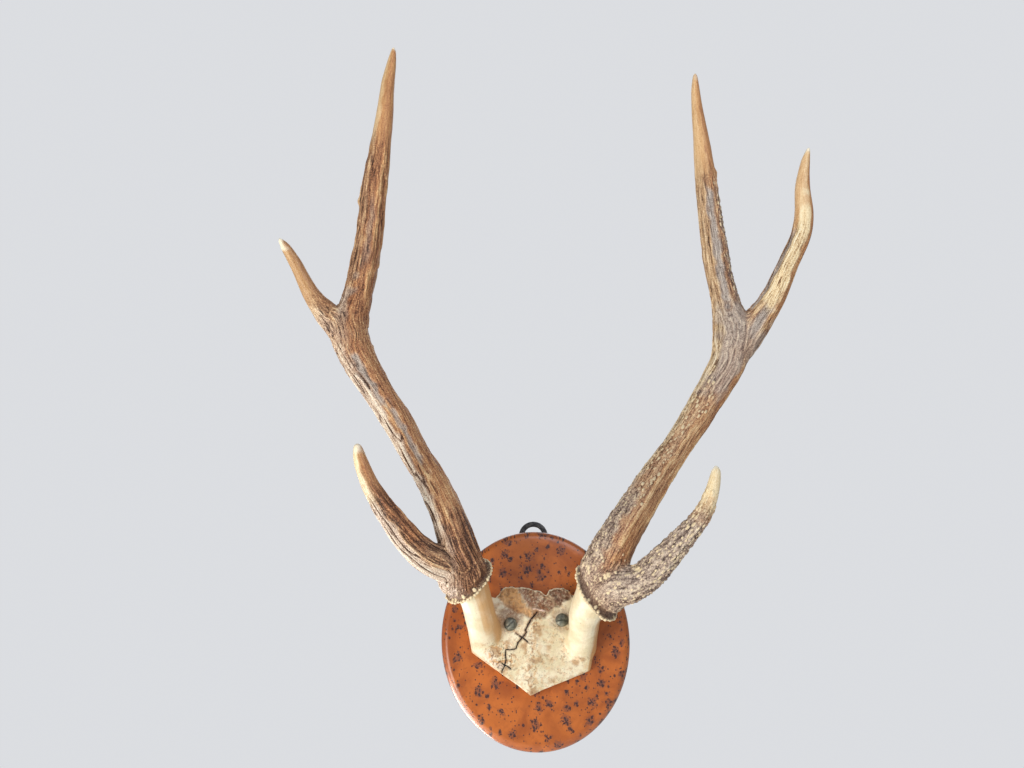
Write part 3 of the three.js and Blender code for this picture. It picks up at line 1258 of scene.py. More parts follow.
@dataclass
class Burr:
    """The beaded ring at an antler's foot, with the swollen foot of the beam above it."""

    foot: Triple  # middle of its underside: right, out from the wall, up
    axis: Triple  # right, out from the wall, up
    radius: float
    neck: float  # radius of the beam's foot as a share of its own
    painted_shade_strength: float = 0.85  # strength of the painted shade in the groove above its beads
    bead_gap: float = 3.7
    sides: int = 96

    def __post_init__(self) -> None:
        """Works out its place and its direction."""
        right, out, up = self.axis
        self.upwards = np.array([right, -out, up]) / math.hypot(right, out, up)
        right, out, up = self.foot
        self.base = np.array([right, -out, up])

    def collar(self) -> Piece:
        """The ring before its beads.

        Returns:
            The ring, at its place.
        """
        profile = [
            (0.8, 0.0), (0.95, 0.6), (1.0, 2.0), (0.98, 3.4), (0.9, 4.6),
            (self.neck - 0.03, 6.0),
            (self.neck, 9.0),
            (self.neck - 0.06, 20.0),
            (0.55, 26.0),
        ]
        collar = turned("collar", [(share * self.radius, height) for share, height in profile], self.sides)
        collar.rotation_mode = "QUATERNION"
        collar.rotation_quaternion = Vector((0, 0, 1)).rotation_difference(Vector(self.upwards))
        collar.location = self.base * MM
        settle(collar)
        return collar

    def places(self, points: Array) -> tuple[Array, Array, Array]:
        """Height above its foot, distance from its axis and degrees round it.

        Args:
            points: Places in millimetres.

        Returns:
            Three arrays, with one number each for every point.
        """
        away = points - self.base
        height = away @ self.upwards
        flat = away - height[:, None] * self.upwards
        across = np.cross(self.upwards, (0.0, 0.0, 1.0))
        across /= np.linalg.norm(across)
        turn = np.degrees(np.arctan2(flat @ np.cross(self.upwards, across), flat @ across))
        return height, np.linalg.norm(flat, axis=1), turn

    def beads(self, points: Array, seed: int) -> list[int]:
        """The surface points that carry its beads.

        Args:
            points: All the antler's points, in millimetres.
            seed: Starts the random draws.

        Returns:
            The points' indices.
        """
        height, radius, turn = self.places(points)
        draws = np.random.default_rng(seed)
        picked = []
        for level, share, spacing, kept in ((1.7, 1.0, 1.0, 1.0), (4.6, 0.92, 1.3, 0.25)):
            count = round(2 * math.pi * self.radius / (self.bead_gap * spacing))
            for number in range(count):
                angle = 360.0 * (number + draws.uniform(-0.18, 0.18)) / count
                rise = level + draws.uniform(-0.5, 0.5)
                if draws.random() > kept:
                    continue
                off = (turn - angle + 180.0) % 360.0 - 180.0
                gap = (height - rise) ** 2 + (np.radians(off) * radius) ** 2
                gap += np.where(radius < (share - 0.12) * self.radius, 1e6, 0.0)
                picked.append(int(gap.argmin()))
        return picked


@dataclass(frozen=True)
class Knob:
    """A low swelling at one side of a tine."""

    tine: Tine
    station: float
    angle: float
    size: float
    rise: float


@dataclass
class Antler:
    """One antler, from its burr to its three points. Lengths are millimetres."""

    side: Side
    finish: AntlerFinish
    burr: Burr
    split_station: int  # of the stem, below the top fork, where the upper part begins
    stations: dict[Tine, tuple[Station, ...]]
    smooth_tips: dict[Tine, float]  # length of the smooth end of each tine
    patches: tuple[Patch, ...]
    knobs: tuple[Knob, ...]
    ridge_height: float
    seed: int
    brow_station: int = 6  # of the stem, above the brow tine, where the middle part begins
    beam_start: float = 3.35  # station of the stem, inside the burr
    grain_run: float = 24.0  # how far along a tine its grain meets the stem's
    saw_gap: float = 0.02  # half the gap between two parts
    cut_margin: float = 6.0  # how far below a cut the faces are taken that it goes through
    slit_depth: float = 1.0
    voxel: float = 0.7
    first_voxel: float = 1.0
    quick_voxel: float = 1.1
    pearl_spacing: float = 2.9
    routes: dict[Tine, Route] = field(init=False)

    def __post_init__(self) -> None:
        """Samples the antler's routes."""
        self.routes = {tine: Route(stations) for tine, stations in self.stations.items()}

    def build(self) -> None:
        """Builds, carves and dresses the antler as a lower, a middle and an upper part."""
        lower = self._rough_body()
        self._refine_burr(lower)
        self._carve(lower)
        upper = self._split(lower, self.split_station)
        middle = self._split(lower, self.brow_station)
        name = self.side.value
        material = self.finish.material()
        for piece, label, parts in (
            (lower, "lower", ("beam", "brow_tine")),
            (middle, "middle", ("beam",)),
            (upper, "upper", ("inner_tine", "outer_tine")),
        ):
            piece.name = f"{name}_antler_{label}"
            finish_piece(piece, material, [f"{name}_{part}" for part in parts], 60)

    def _rough_body(self) -> Piece:
        """The tines and the burr, grown together into one skin.

        Returns:
            The antler before it is carved.
        """
        last = {tine: len(stations) - 1 for tine, stations in self.stations.items()}
        bodies = [self.routes[Tine.STEM].tube("stem", self.beam_start, last[Tine.STEM])]
        bodies += [self.routes[tine].tube(tine.value, 0, last[tine]) for tine in (Tine.OUTER, Tine.BROW)]
        bodies.append(self.burr.collar())
        piece = joined(f"{self.side.value}_antler", bodies)
        grow_skin(piece, self.first_voxel)
        self._soften(piece)
        grow_skin(piece, self.voxel)
        relax(piece, np.ones(len(piece.data.vertices)), 3)
        return piece

    def _soften(self, piece: Piece) -> None:
        """Fills the creases where the tines and the burr's foot meet the stem.

        Args:
            piece: The antler.
        """
        points = points_of(piece)
        stem = Reading.of(points, self.routes[Tine.STEM])
        relax(piece, np.ones(len(points)), 2)
        height, radius, _ = self.burr.places(points)
        weights = smooth_step(height, 9.0, 15.0) * smooth_step(height, 36.0, 26.0)
        weights *= radius < 1.3 * self.burr.radius
        for tine in (Tine.OUTER, Tine.BROW):
            other = Reading.of(points, self.routes[tine])
            both = np.maximum(np.abs(stem.excess), np.abs(other.excess))
            weights = np.maximum(weights, 1.0 - smooth_step(both, 2.0, 9.0))
        relax(piece, weights, 40)

    def _refine_burr(self, piece: Piece) -> None:
        """Gives the burr a finer mesh for its beads.

        Args:
            piece: The antler.
        """
        height, radius, _ = self.burr.places(points_of(piece))
        near = (height > -1.5) & (height < 7.0)
        near &= (radius > 0.76 * self.burr.radius) & (radius < 1.2 * self.burr.radius)
        select_faces(piece, near)
        bpy.ops.mesh.subdivide(number_cuts=1, smoothness=0.0)
        bpy.ops.object.mode_set(mode="OBJECT")

    def _split(self, piece: Piece, station: int) -> Piece:
        """Cuts the stem through.

        Args:
            piece: The antler, of which what lies below the cut is left.
            station: The stem's station at the cut.

        Returns:
            What lies above the cut.
        """
        route = self.routes[Tine.STEM]
        index = int(np.searchsorted(route.station, station))
        points = points_of(piece)
        stem, brow = (Reading.of(points, self.routes[tine]) for tine in (Tine.STEM, Tine.BROW))
        above = (stem.along > route.along[index] - self.cut_margin) & (stem.excess < brow.excess)
        choose(piece)
        bpy.ops.object.duplicate()
        upper = bpy.context.object
        for part, gap in ((piece, -self.saw_gap), (upper, self.saw_gap)):
            select_faces(part, above)
            if part is upper:
                bpy.ops.mesh.select_all(action="INVERT")
                bpy.ops.mesh.delete(type="FACE")
                bpy.ops.mesh.select_all(action="SELECT")
            bpy.ops.mesh.bisect(
                plane_co=(route.centre[index] + gap * route.tangent[index]) * MM,
                plane_no=route.tangent[index],
                use_fill=True,
                clear_outer=part is piece,
                clear_inner=part is upper,
            )
            bpy.ops.object.mode_set(mode="OBJECT")
        return upper

    def _grain(self, readings: dict[Tine, Reading], weights: dict[Tine, Array]) -> tuple[Array, Array]:
        """Coordinates across and along the tines that run on through the forks, and the way round.

        Args:
            readings: The surface's points beside each tine.
            weights: How much each point belongs to each tine.

        Returns:
            One row of three for each point, and one row of two.
        """
        stem_route = self.routes[Tine.STEM]
        total = np.zeros((len(readings[Tine.STEM].along), 3))
        around = np.zeros((len(total), 2))
        for tine, reading in readings.items():
            own = np.stack([reading.front, reading.side, reading.along], axis=1)
            if tine is not Tine.STEM:
                route = self.routes[tine]
                index = int(np.searchsorted(route.along, self.grain_run))
                start = Reading.of(route.centre[index : index + 1], stem_route)
                own += (start.front[0], start.side[0], start.along[0] - route.along[index])
            total += weights[tine][:, None] * own
            turn = np.stack([-reading.side, reading.front], axis=1)
            around += weights[tine][:, None] * turn / (np.linalg.norm(turn, axis=1)[:, None] + 1e-6)
        return total, around

    def _cover(
        self, look: Look, readings: dict[Tine, Reading], weights: dict[Tine, Array], wander: Array
    ) -> Array:
        """How much of a look each point has from the antler's patches.

        Args:
            look: The look.
            readings: The surface's points beside each tine.
            weights: How much each point belongs to each tine.
            wander: Noise that makes the patches' edges uneven.

        Returns:
            A number from 0 to 1 for each point.
        """
        total = np.zeros(len(wander))
        for patch in self.patches:
            if patch.look is not look:
                continue
            reading = readings[patch.tine]
            station = reading.station + 0.5 * wander
            fade = 0.3 if patch.spread < 25 else 0.6
            ends = smooth_step(station, patch.start - fade, patch.start + fade)
            ends *= smooth_step(station, patch.end + fade, patch.end - fade)
            loose = min(9.0, 0.6 * patch.spread)
            away = np.abs((reading.angle - patch.angle + 1.3 * loose * wander + 180.0) % 360.0 - 180.0)
            if patch.spread < 180:
                ends *= smooth_step(away, patch.spread + loose, patch.spread - loose)
            total = np.maximum(total, patch.amount * ends * weights[patch.tine])
        return total

    def _bumps(
        self,
        points: Array,
        seeds: Sequence[int],
        grain: Array,
        sizes: Pair,
        stretch: float,
        least_pale: float,
    ) -> Array:
        """Rounded bumps at some of a surface's points.

        Args:
            points: All the surface's points, in millimetres.
            seeds: The points that carry a bump.
            grain: Coordinates whose third axis runs along the tine.
            sizes: The smallest and largest radius of a bump.
            stretch: How much longer than wide a bump is.
            least_pale: The paleness of the darkest bump.

        Returns:
            For each point the bumps' height, their paleness and the painted shade ring round them, from 0 to
            1.
        """
        tree = kdtree.KDTree(len(points))
        for index, point in enumerate(points):
            tree.insert(point, index)
        tree.balance()
        draws = np.random.default_rng(self.seed + 5)
        uneven = 0.3 * swell(points / 1.3, self.seed + 14)
        result = np.zeros((len(points), 3))
        for seed in seeds:
            size = draws.uniform(*sizes)
            lift, paleness = draws.uniform(0.4, 1.0), draws.uniform(least_pale, 1.0)
            found = np.array([hit[1] for hit in tree.find_range(points[seed], 1.5 * size * stretch)], int)
            whole = np.linalg.norm(points[found] - points[seed], axis=1)
            run = np.minimum(np.abs(grain[found, 2] - grain[seed, 2]), whole)
            wide = np.sqrt(np.maximum(whole**2 - run**2, 0.0))
            reach = np.sqrt((wide / size) ** 2 + (run / (size * stretch)) ** 2) + uneven[found]
            dome = np.clip(1.0 - reach**2, 0.0, 1.0)
            # a ring just outside each bump, kept as its painted shade
            ring = np.clip(1.0 - np.abs(reach - 1.15) / 0.4, 0.0, 1.0)
            shapes = np.stack([lift * dome, paleness * np.clip(2.2 * dome - 0.3, 0.0, 1.0), ring], axis=1)
            result[found] = np.maximum(result[found], shapes)
        return result

    def _knobbed(self, readings: dict[Tine, Reading], weights: dict[Tine, Array]) -> Array:
        """The rise of the knobs at each point.

        Args:
            readings: The surface's points beside each tine.
            weights: How much each point belongs to each tine.

        Returns:
            Millimetres, one number for each point.
        """
        total = np.zeros(len(readings[Tine.STEM].along))
        for knob in self.knobs:
            reading = readings[knob.tine]
            run = reading.along - self.routes[knob.tine].along_at(knob.station)
            turn = np.radians((reading.angle - knob.angle + 180.0) % 360.0 - 180.0)
            away = np.hypot(run, turn * np.hypot(reading.front, reading.side))
            total += knob.rise * weights[knob.tine] * smooth_step(away, knob.size, 0.0)
        return total

    def _carve(self, piece: Piece) -> None:
        """Gives the antler its ridges, channels, pearls and beads, and keeps what its finish reads.

        Args:
            piece: The antler.
        """
        points, normals = points_of(piece), normals_of(piece)
        readings = {tine: Reading.of(points, route) for tine, route in self.routes.items()}
        nearness = {tine: np.exp(-np.maximum(r.excess, -4.0) / 2.2) for tine, r in readings.items()}
        sums = sum(nearness.values())
        weights = {tine: near / sums for tine, near in nearness.items()}
        grain, around = self._grain(readings, weights)

        wander = 2.0 * swell(points / 11.0, self.seed)
        looks = {look: self._cover(look, readings, weights, wander) for look in Look}
        tip, point = np.zeros(len(points)), np.zeros(len(points))
        for tine, reading in readings.items():
            left = self.routes[tine].along[-1] - reading.along + 9.0 * wander
            reach = self.smooth_tips[tine]
            tip = np.maximum(tip, weights[tine] * smooth_step(left, reach + 22.0, reach - 22.0))
            point = np.maximum(point, weights[tine] * smooth_step(left, 9.0, 2.0))

        height, radius, turn = self.burr.places(points)
        close = radius < 1.25 * self.burr.radius
        at_burr = smooth_step(radius, 0.8 * self.burr.radius, 0.9 * self.burr.radius) * close
        at_burr *= smooth_step(height, -3.5, -1.0) * smooth_step(height, 6.5, 4.5)
        # the groove above the beads, which is also painted dark as shade
        painted_band_shade = smooth_step(height, 3.4, 4.6) * smooth_step(height, 10.0, 7.0) * close
        painted_band_shade *= smooth_step(radius, 0.62 * self.burr.radius, 0.7 * self.burr.radius)
        spoke_places = np.stack([np.cos(np.radians(turn)), np.sin(np.radians(turn)), height / 60.0], axis=1)
        spokes = swell(spoke_places * self.burr.radius / 2.4, self.seed + 8)
        foot = smooth_step(height, 3.0, 5.0) * smooth_step(height, 26.0, 14.0) * close

        rugged = (1.0 - tip) * (1.0 - 0.85 * looks[Look.SMOOTH]) * (1.0 - at_burr) * (1.0 - 0.7 * painted_band_shade)
        granular = np.maximum(looks[Look.GRANULAR], 0.85 * looks[Look.PEARLED]) * (1.0 - tip)
        warp = np.stack([swell(grain / (14.0, 14.0, 28.0), self.seed + k) for k in (1, 2)], axis=1)
        flow = grain.copy()
        flow[:, :2] += 3.2 * warp
        waves = 0.5 + swell(flow / (6.0, 6.0, 15.0), self.seed + 5)
        broad = crests(flow, around, 8.5, 120.0, 1.3, self.seed + 3) * np.clip(0.45 + waves, 0.0, 1.0)
        narrow = crests(flow, around, 4.4, 52.0, 0.85, self.seed + 4) * np.clip(1.5 * waves, 0.0, 1.0)
        marked = looks[Look.RIDGED] * (0.7 + 0.5 * waves)
        ridge = np.clip(np.maximum(broad, 0.65 * narrow) * (1.0 - 0.75 * granular), 0.0, 1.0)
        ridge *= 1.0 - 0.8 * looks[Look.GROOVED]
        slits = crests(flow, around, 5.6, 64.0, 0.75, self.seed + 9) * np.clip(0.3 + waves, 0.0, 1.0)
        slits *= self.slit_depth * (1.0 - foot) * rugged * (1.0 - ridge)
        slits *= (0.35 + 0.65 * looks[Look.PALE]) * (1.0 - granular)

        chance = looks[Look.PEARLED] * (1.0 - tip) * (1.0 - at_burr) * (1.0 - painted_band_shade)
        chance *= smooth_step(swell(points / 8.0, self.seed + 10), -0.45, 0.25)
        seeds = scattered(points, np.clip(chance, 0.0, 1.0), self.pearl_spacing, self.seed + 6)
        pearls = self._bumps(points, seeds, grain, (0.7, 1.7), 2.1, 0.05)
        beads = self._bumps(points, self.burr.beads(points, self.seed + 9), grain, (1.7, 2.2), 1.0, 0.8)

        lift = self.ridge_height * rugged * (ridge - 0.3) - 0.7 * slits + 1.0 * marked * (1.0 - tip)
        lift += 1.5 * rugged * swell(flow / (13.0, 13.0, 150.0), self.seed + 11)
        grains = 0.45 * swell(points / 2.2, self.seed + 12) + 0.5 * swell(points / 4.5, self.seed + 13)
        lift += granular * grains
        lift += 1.1 * pearls[:, 0] * (1.0 - at_burr) + 1.9 * beads[:, 0] - 0.6 * at_burr
        lift += 0.4 * foot * spokes - 0.7 * painted_band_shade - 1.2 * looks[Look.GROOVED] * (1.0 - tip)
        lift += 0.5 * swell(points / 24.0, self.seed + 7) + self._knobbed(readings, weights)
        move_points(piece, points + lift[:, None] * normals)

        relief = np.maximum(ridge * (0.2 + 0.8 * rugged), marked * (1.0 - tip))
        relief += 0.5 * foot * np.clip(spokes, 0.0, 1.0)
        off_beads = 1.0 - np.clip(2.5 * beads[:, 0], 0.0, 1.0)
        # painted shade: dark rings round the pearls and dark gaps between the burr's beads
        painted_bead_shade = np.maximum(0.8 * pearls[:, 2] * (1.0 - pearls[:, 1]), 0.6 * at_burr * off_beads)
        # painted shade in that groove, left off the beads
        shadow = painted_band_shade * off_beads * (1.0 - 0.8 * looks[Look.GREY])
        kept = {
            "grain": grain * MM,
            "relief": np.clip(relief, 0.0, 1.0),
            "slit": slits,
            "tip": tip,
            "point": point,
            "granular": np.clip(granular, 0.0, 1.0),
            "pearl": np.maximum(0.75 * pearls[:, 1], np.clip(2.2 * beads[:, 1], 0.36 * at_burr, 1.0)),
            "painted_bead_shade": painted_bead_shade,
            "painted_band_shade": self.burr.painted_shade_strength * np.clip(shadow - 0.3 * spokes * painted_band_shade, 0, 1),
        }
        kept |= {look.value: looks[look] for look in (Look.PALE, Look.WARM, Look.GREY, Look.DARK)}
        for name, values in kept.items():
            store(piece, name, values)


# ---- Skull plate ----


@dataclass
class SkullPlate:
    """The sawn frontal bone with both pedicles, lying flat on the plaque. Lines are right and up."""

    outline: tuple[Pair, ...]
    broken_edge: tuple[int, int]  # outline points between which the edge is broken and not sawn
    pedicles: tuple[Route, Route]
    pedicle_end: float
    back: float = 18.3
    front: float = 29.5
    voxel: float = 0.72
    suture: tuple[Pair, ...] = (
        (2.1, 23.6), (-1.8, 19.3), (-4.3, 16.7), (-5.8, 14.1), (-7.9, 10.6), (-9.4, 8.0), (-8.6, 6.2),
        (-10.6, 3.6), (-13.0, 1.1), (-14.5, -0.6), (-16.9, -2.3), (-17.5, -4.9), (-19.0, -7.5),
        (-21.8, -8.6), (-28.7, -8.3), (-28.8, -11.3), (-28.6, -14.9), (-28.7, -17.5), (-29.8, -21.0),
        (-31.3, -24.4), (-32.8, -26.9), (-33.5, -31.3),
    )
    side_cracks: tuple[tuple[Pair, ...], ...] = (
        ((-18.3, 5.8), (-14.8, 3.0), (-11.2, 0.5), (-7.7, -2.8)),
        ((-35.1, -18.1), (-31.6, -20.9), (-28.1, -22.8), (-24.6, -25.6)),
    )
    midline: tuple[Pair, ...] = (
        (0.9, 18.2), (-2.5, 7.7), (-5.8, -1.1), (-4.5, -10.0), (-3.1, -17.2), (-5.5, -25.8), (-7.0, -36.2),
        (-7.7, -48.3),
    )
    break_line: tuple[Pair, ...] = (  # below it the bone's face is whole
        (-34.1, 38.2), (-27.1, 30.6), (-18.2, 23.8), (-4.6, 18.5), (9.2, 17.8), (17.0, 24.6), (28.5, 30.3),
        (36.3, 34.4),
    )
    sliver: tuple[Pair, ...] = ((-0.9, 26.9), (3.2, 25.8), (9.6, 24.1))
    pink_line: tuple[Pair, ...] = ((-45.8, -12.2), (-41.5, -18.6), (-34.4, -22.5))
    sawn_line: tuple[Pair, ...] = ((48.0, -31.0), (58.0, 8.0))
    seed: int = 71

    def build(self) -> Piece:
        """Builds, carves and dresses the skull plate.

        Returns:
            The finished piece.
        """
        piece = self._rough_body()
        self._carve(piece)
        self._flatten_back(piece)
        return finish_piece(piece, BoneFinish("dry_bone").material(), ["skull_plate"])

    def _edge(self) -> list[Pair]:
        """The outline with its broken stretch made ragged.

        Returns:
            The outline as right and up.
        """
        draws = np.random.default_rng(self.seed)
        first, last = self.broken_edge
        points: list[Pair] = []
        for number, (start, end) in enumerate(zip(self.outline, self.outline[1:] + self.outline[:1])):
            points.append(start)
            if not first <= number < last:
                continue
            steps = max(1, round(math.dist(start, end) / 2.0))
            for step in range(1, steps):
                share = step / steps
                points.append(
                    (
                        start[0] + share * (end[0] - start[0]) + draws.uniform(-0.5, 0.5),
                        start[1] + share * (end[1] - start[1]) + draws.uniform(-0.8, 0.8),
                    )
                )
        return points

    def _rough_body(self) -> Piece:
        """The plate and the pedicles, grown together into one skin.

        Returns:
            The skull plate before it is carved.
        """
        edge = self._edge()
        plate = slab("skull_plate_slab", edge, self.back - 2.0, self.front)
        tubes = [route.tube("pedicle", 0, self.pedicle_end) for route in self.pedicles]
        piece = joined("skull_plate_with_pedicles", [plate, *tubes])
        grow_skin(piece, self.voxel)
        points = points_of(piece)
        relax(piece, np.ones(len(points)), 3)
        flat = np.abs(-points[:, 1] - self.front)
        near = np.full(len(points), np.inf)
        for route in self.pedicles:
            near = np.minimum(near, np.abs(Reading.of(points, route).excess))
        facing = smooth_step(-points[:, 1], self.front - 9.0, self.front - 4.0)
        facing *= np.where(points[:, 0] > 0.0, 0.55, 1.0)
        weights = facing * (1.0 - smooth_step(np.maximum(0.7 * flat, near), 6.0, 15.0))
        relax(piece, weights, 260)
        return piece

    def _carve(self, piece: Piece) -> None:
        """Gives the bone its cracks, broken edge, stains and pores, with painted shade on its right-facing
        sides and round the screw heads.

        Args:
            piece: The skull plate.
        """
        points, normals = points_of(piece), normals_of(piece)
        face = points[:, [0, 2]]
        right, up = face[:, 0], face[:, 1]
        out = -points[:, 1]
        facing = smooth_step(-normals[:, 1], 0.15, 0.6)
        on_plate = facing * smooth_step(out, self.front + 9.0, self.front + 3.0)
        wobble = np.stack([swell(points / 2.2, self.seed + k) for k in (1, 2)], axis=1)
        cloud = swell(points / 7.0, self.seed + 3)
        crack = across_line(face + 0.7 * wobble, self.suture)
        crack += 0.4 * smooth_step(cloud, 0.1, 0.5)
        for line in self.side_cracks:
            thick = smooth_step(across_line(face, line[1:]), 1.5, 0.0)
            crack = np.minimum(crack, across_line(face + 0.5 * wobble, line) + 0.3 - 0.6 * thick)
        seam = across_line(face + 1.6 * wobble, self.midline)

        edge = np.interp(right, *np.array(self.break_line).T)
        broken = smooth_step(up - edge + 3.0 * cloud, -1.5, 3.0) * on_plate
        broken *= smooth_step(right, -39.0, -34.0) * smooth_step(right, 40.0, 36.0)
        rough = swell(points / 3.0, self.seed + 4) + 0.6 * swell(points / 1.6, self.seed + 5)
        flake = smooth_step(across_line(face + 0.4 * wobble, self.sliver), 1.1, 0.5) * on_plate

        lift = 0.35 * swell(points / 12.0, self.seed + 6) + 0.1 * swell(points / 2.0, self.seed + 7)
        lift += broken * (-1.6 + 2.6 * rough) + 1.4 * flake
        lift -= on_plate * 1.1 * smooth_step(crack, 0.8, 0.1)
        swollen = 1.1 * smooth_step(seam, 16.0, 0.0) + 0.5 * smooth_step(seam, 1.8, 0.0) * rough
        lift += on_plate * (1.0 - broken) * swollen
        move_points(piece, points + lift[:, None] * normals)

        porous = 0.7 * smooth_step(seam + 5.0 * cloud, 12.0, 1.0) * on_plate
        pitted = smooth_step(np.hypot(right + 34, up + 14) + 6 * cloud, 22.0, 6.0)
        porous = np.maximum(porous, pitted * facing)
        porous = np.maximum(porous, 0.1 + 0.45 * on_plate * smooth_step(cloud, -0.5, 0.4))
        shifted = right + 0.55 * (up - 30.0) + 8.0 * cloud + 4.5 * rough
        centre = smooth_step(shifted, -10.0, -2.0) * smooth_step(shifted, 22.0, 15.0)
        lump = smooth_step(shifted, 15.0, 22.0)
        left_top = broken * (1.0 - centre) * (1.0 - lump)
        # brown about each screw head: rust stain with painted shade round where the heads sit
        left_screw_stain_and_shade = smooth_step(np.hypot(right + 23, up - 20) + 5.0 * cloud, 15.0, 7.0)
        right_screw_stain_and_shade = smooth_step(np.hypot(right - 24, up - 15) + 5.0 * cloud, 12.0, 7.0)
        screw_stain_and_shade = np.maximum(0.65 * left_screw_stain_and_shade, 0.4 * right_screw_stain_and_shade)
        # the stain takes in the screws' painted shade
        stain = np.maximum(broken * centre * (0.85 + 0.2 * rough), screw_stain_and_shade * on_plate)
        stain = np.maximum(stain, 0.6 * broken * lump)
        stain = np.maximum(stain, 0.75 * smooth_step(crack, 2.0, 0.5) * smooth_step(up, -4.0, 4.0) * on_plate)
        stain = np.maximum(stain, left_top * smooth_step(rough, -0.1, 0.5) * 0.6)
        seam_stain = 0.45 * smooth_step(seam, 1.6, 0.2) * on_plate * smooth_step(rough, -0.3, 0.4)
        stain = np.maximum(stain, seam_stain)
        # painted shade: tan on the left pedicle's right-facing slope, turned from the light
        slope = smooth_step(normals[:, 0], -0.1, 0.4) * smooth_step(right + 3.0 * cloud, -20.0, -32.0)
        slope *= smooth_step(up + 4.0 * cloud, -12.0, 16.0)
        # the slope's painted shade together with the real tan of the broken top left
        inner = np.maximum(0.7 * slope, left_top * 0.85)
        sawn = smooth_step(across_line(face, self.sawn_line), 4.0, 1.5)
        sawn = np.maximum(sawn, smooth_step(out, self.front - 1.0, self.back + 1.0))
        # painted shade: tan on every side that faces right, away from the light
        right_facing_painted_shade = 0.95 * smooth_step(normals[:, 0], 0.35, 0.9)
        pink = smooth_step(across_line(face, self.pink_line) + 2.0 * cloud, 5.0, 1.0)
        ash = np.maximum(broken * lump * 0.9, 0.35 * left_top * smooth_step(right, -26.0, -34.0))
        kept = {
            "crack": np.where(on_plate > 0.2, crack, 9.0),
            "stain": stain * (1.0 - flake),
            "ash": ash * (1.0 - flake),
            "rose": np.maximum(0.5 * pink * facing, flake),
            "porous": porous,
            # real tan of sawn and broken faces, and painted shade on right-facing sides
            "shade": np.maximum(np.maximum(inner, sawn), right_facing_painted_shade),
        }
        for name, values in kept.items():
            store(piece, name, np.clip(values, 0.0, 9.0 if name == "crack" else 1.0))

    def _flatten_back(self, piece: Piece) -> None:
        """Saws the back off flat where it meets the plaque.

        Args:
            piece: The skull plate.
        """
        open_mesh(piece)
        bpy.ops.mesh.bisect(
            plane_co=(0, -(self.back + 0.02) * MM, 0), plane_no=(0, 1, 0), use_fill=True, clear_outer=True
        )
        bpy.ops.object.mode_set(mode="OBJECT")


# ---- Screws ----


@dataclass
class SkullScrew:
    """A slotted round-head screw that holds the skull plate."""

    name: str
    right: float
    up: float
    slot_turn: float  # degrees
    foot: float = 29.8  # distance of the head's underside from the wall
    head_radius: float = 6.1
    head_height: float = 4.6
    shank_radius: float = 2.5
    length: float = 24.0
    slot_width: float = 1.5
    slot_depth: float = 2.2

    def build(self, material: bpy.types.Material) -> Piece:
        """Builds and dresses the screw.

        Args:
            material: The steel that both screws share.

        Returns:
            The finished piece.
        """
        dome = [
            (self.head_radius * math.cos(math.radians(a)), self.head_height * math.sin(math.radians(a)))
            for a in range(8, 90, 9)
        ]
        shank = [(0.4, -self.length), (self.shank_radius, -self.length + 5.0), (self.shank_radius, -0.02)]
        piece = turned(self.name + "_shown", [*shank, (self.head_radius - 0.4, 0.0), *dome], 48)
        slot = (4 * self.head_radius, self.slot_width, 2 * self.slot_depth)
        cut_slot(piece, slot, self.head_height, self.slot_turn)
        round_edges(piece, 0.18)
        stand_out(piece, self.right, self.foot, self.up)
        return finish_piece(piece, material, [self.name], smooth_below=40)


# ---- Hanger ----


@dataclass
class Hanger:
    """The dark strap hanger let into the plaque's back, with its eye above the top edge."""

    right: float = 4.0
    up: float = 97.0
    foot: float = 0.3
    thickness: float = 2.0
    eye_radius: float = 14.0
    hole_radius: float = 9.0
    strap_width: float = 18.0
    strap_length: float = 38.0
    screw_drops: tuple[tuple[str, float], ...] = (("hanger_screw_upper", 20.0), ("hanger_screw_lower", 36.0))

    def outline(self, grow: float, foot: float, top: float) -> Piece:
        """The hanger's shape without its hole, as a solid.

        Args:
            grow: How much larger it is all round, in millimetres.
            foot: Its distance from the wall.
            top: The distance of its front from the wall.

        Returns:
            The solid, at its place.
        """
        radius = self.eye_radius + grow
        half = self.strap_width / 2 + grow
        opening = math.asin(half / radius)
        edge = [
            (self.right + radius * math.sin(turn), self.up - radius * math.cos(turn))
            for turn in np.linspace(opening, 2 * math.pi - opening, 88)
        ]
        end = self.up - self.strap_length
        edge += [
            (self.right - half * math.cos(turn), end - half * math.sin(turn))
            for turn in np.linspace(0, math.pi, 33)
        ]
        return slab("hanger_shape", edge, foot, top)

    def build(self) -> list[Piece]:
        """Builds and dresses the hanger and its two screws.

        Returns:
            The finished pieces.
        """
        steel = SteelFinish("black_steel", tone(52, 52, 54), tone(84, 82, 80), 0.6, 0.5).material()
        plate = self.outline(0.0, self.foot, self.foot + self.thickness)
        plate.name = "hanger_with_eye"
        hole = turned("hole", [(self.hole_radius, -2.0), (self.hole_radius, 6.0)], 96)
        stand_out(hole, self.right, 0.0, self.up)
        cut_away(plate, hole)
        round_edges(plate, 0.35)
        pieces = []
        for name, drop in self.screw_drops:
            sink = turned("sink", [(4.5, -0.5), (1.9, 2.2), (1.9, 4.0)], 32)
            stand_out(sink, self.right, self.foot, self.up - drop)
            cut_away(plate, sink)
            profile = [(3.2, 0.0), (3.7, 0.25), (1.6, 2.0), (1.6, 10.4), (0.3, 12.0)]
            screw = turned(name + "_shown", profile, 40)
            cut_slot(screw, (9.0, 0.9, 1.6), 0.0, 25 + 3 * drop)
            stand_out(screw, self.right, self.foot, self.up - drop)
            pieces.append(finish_piece(screw, steel, [name], smooth_below=40))
        pieces.append(finish_piece(plate, steel, ["hanger_plate"], smooth_below=40))
        return pieces


# ---- Plaque ----


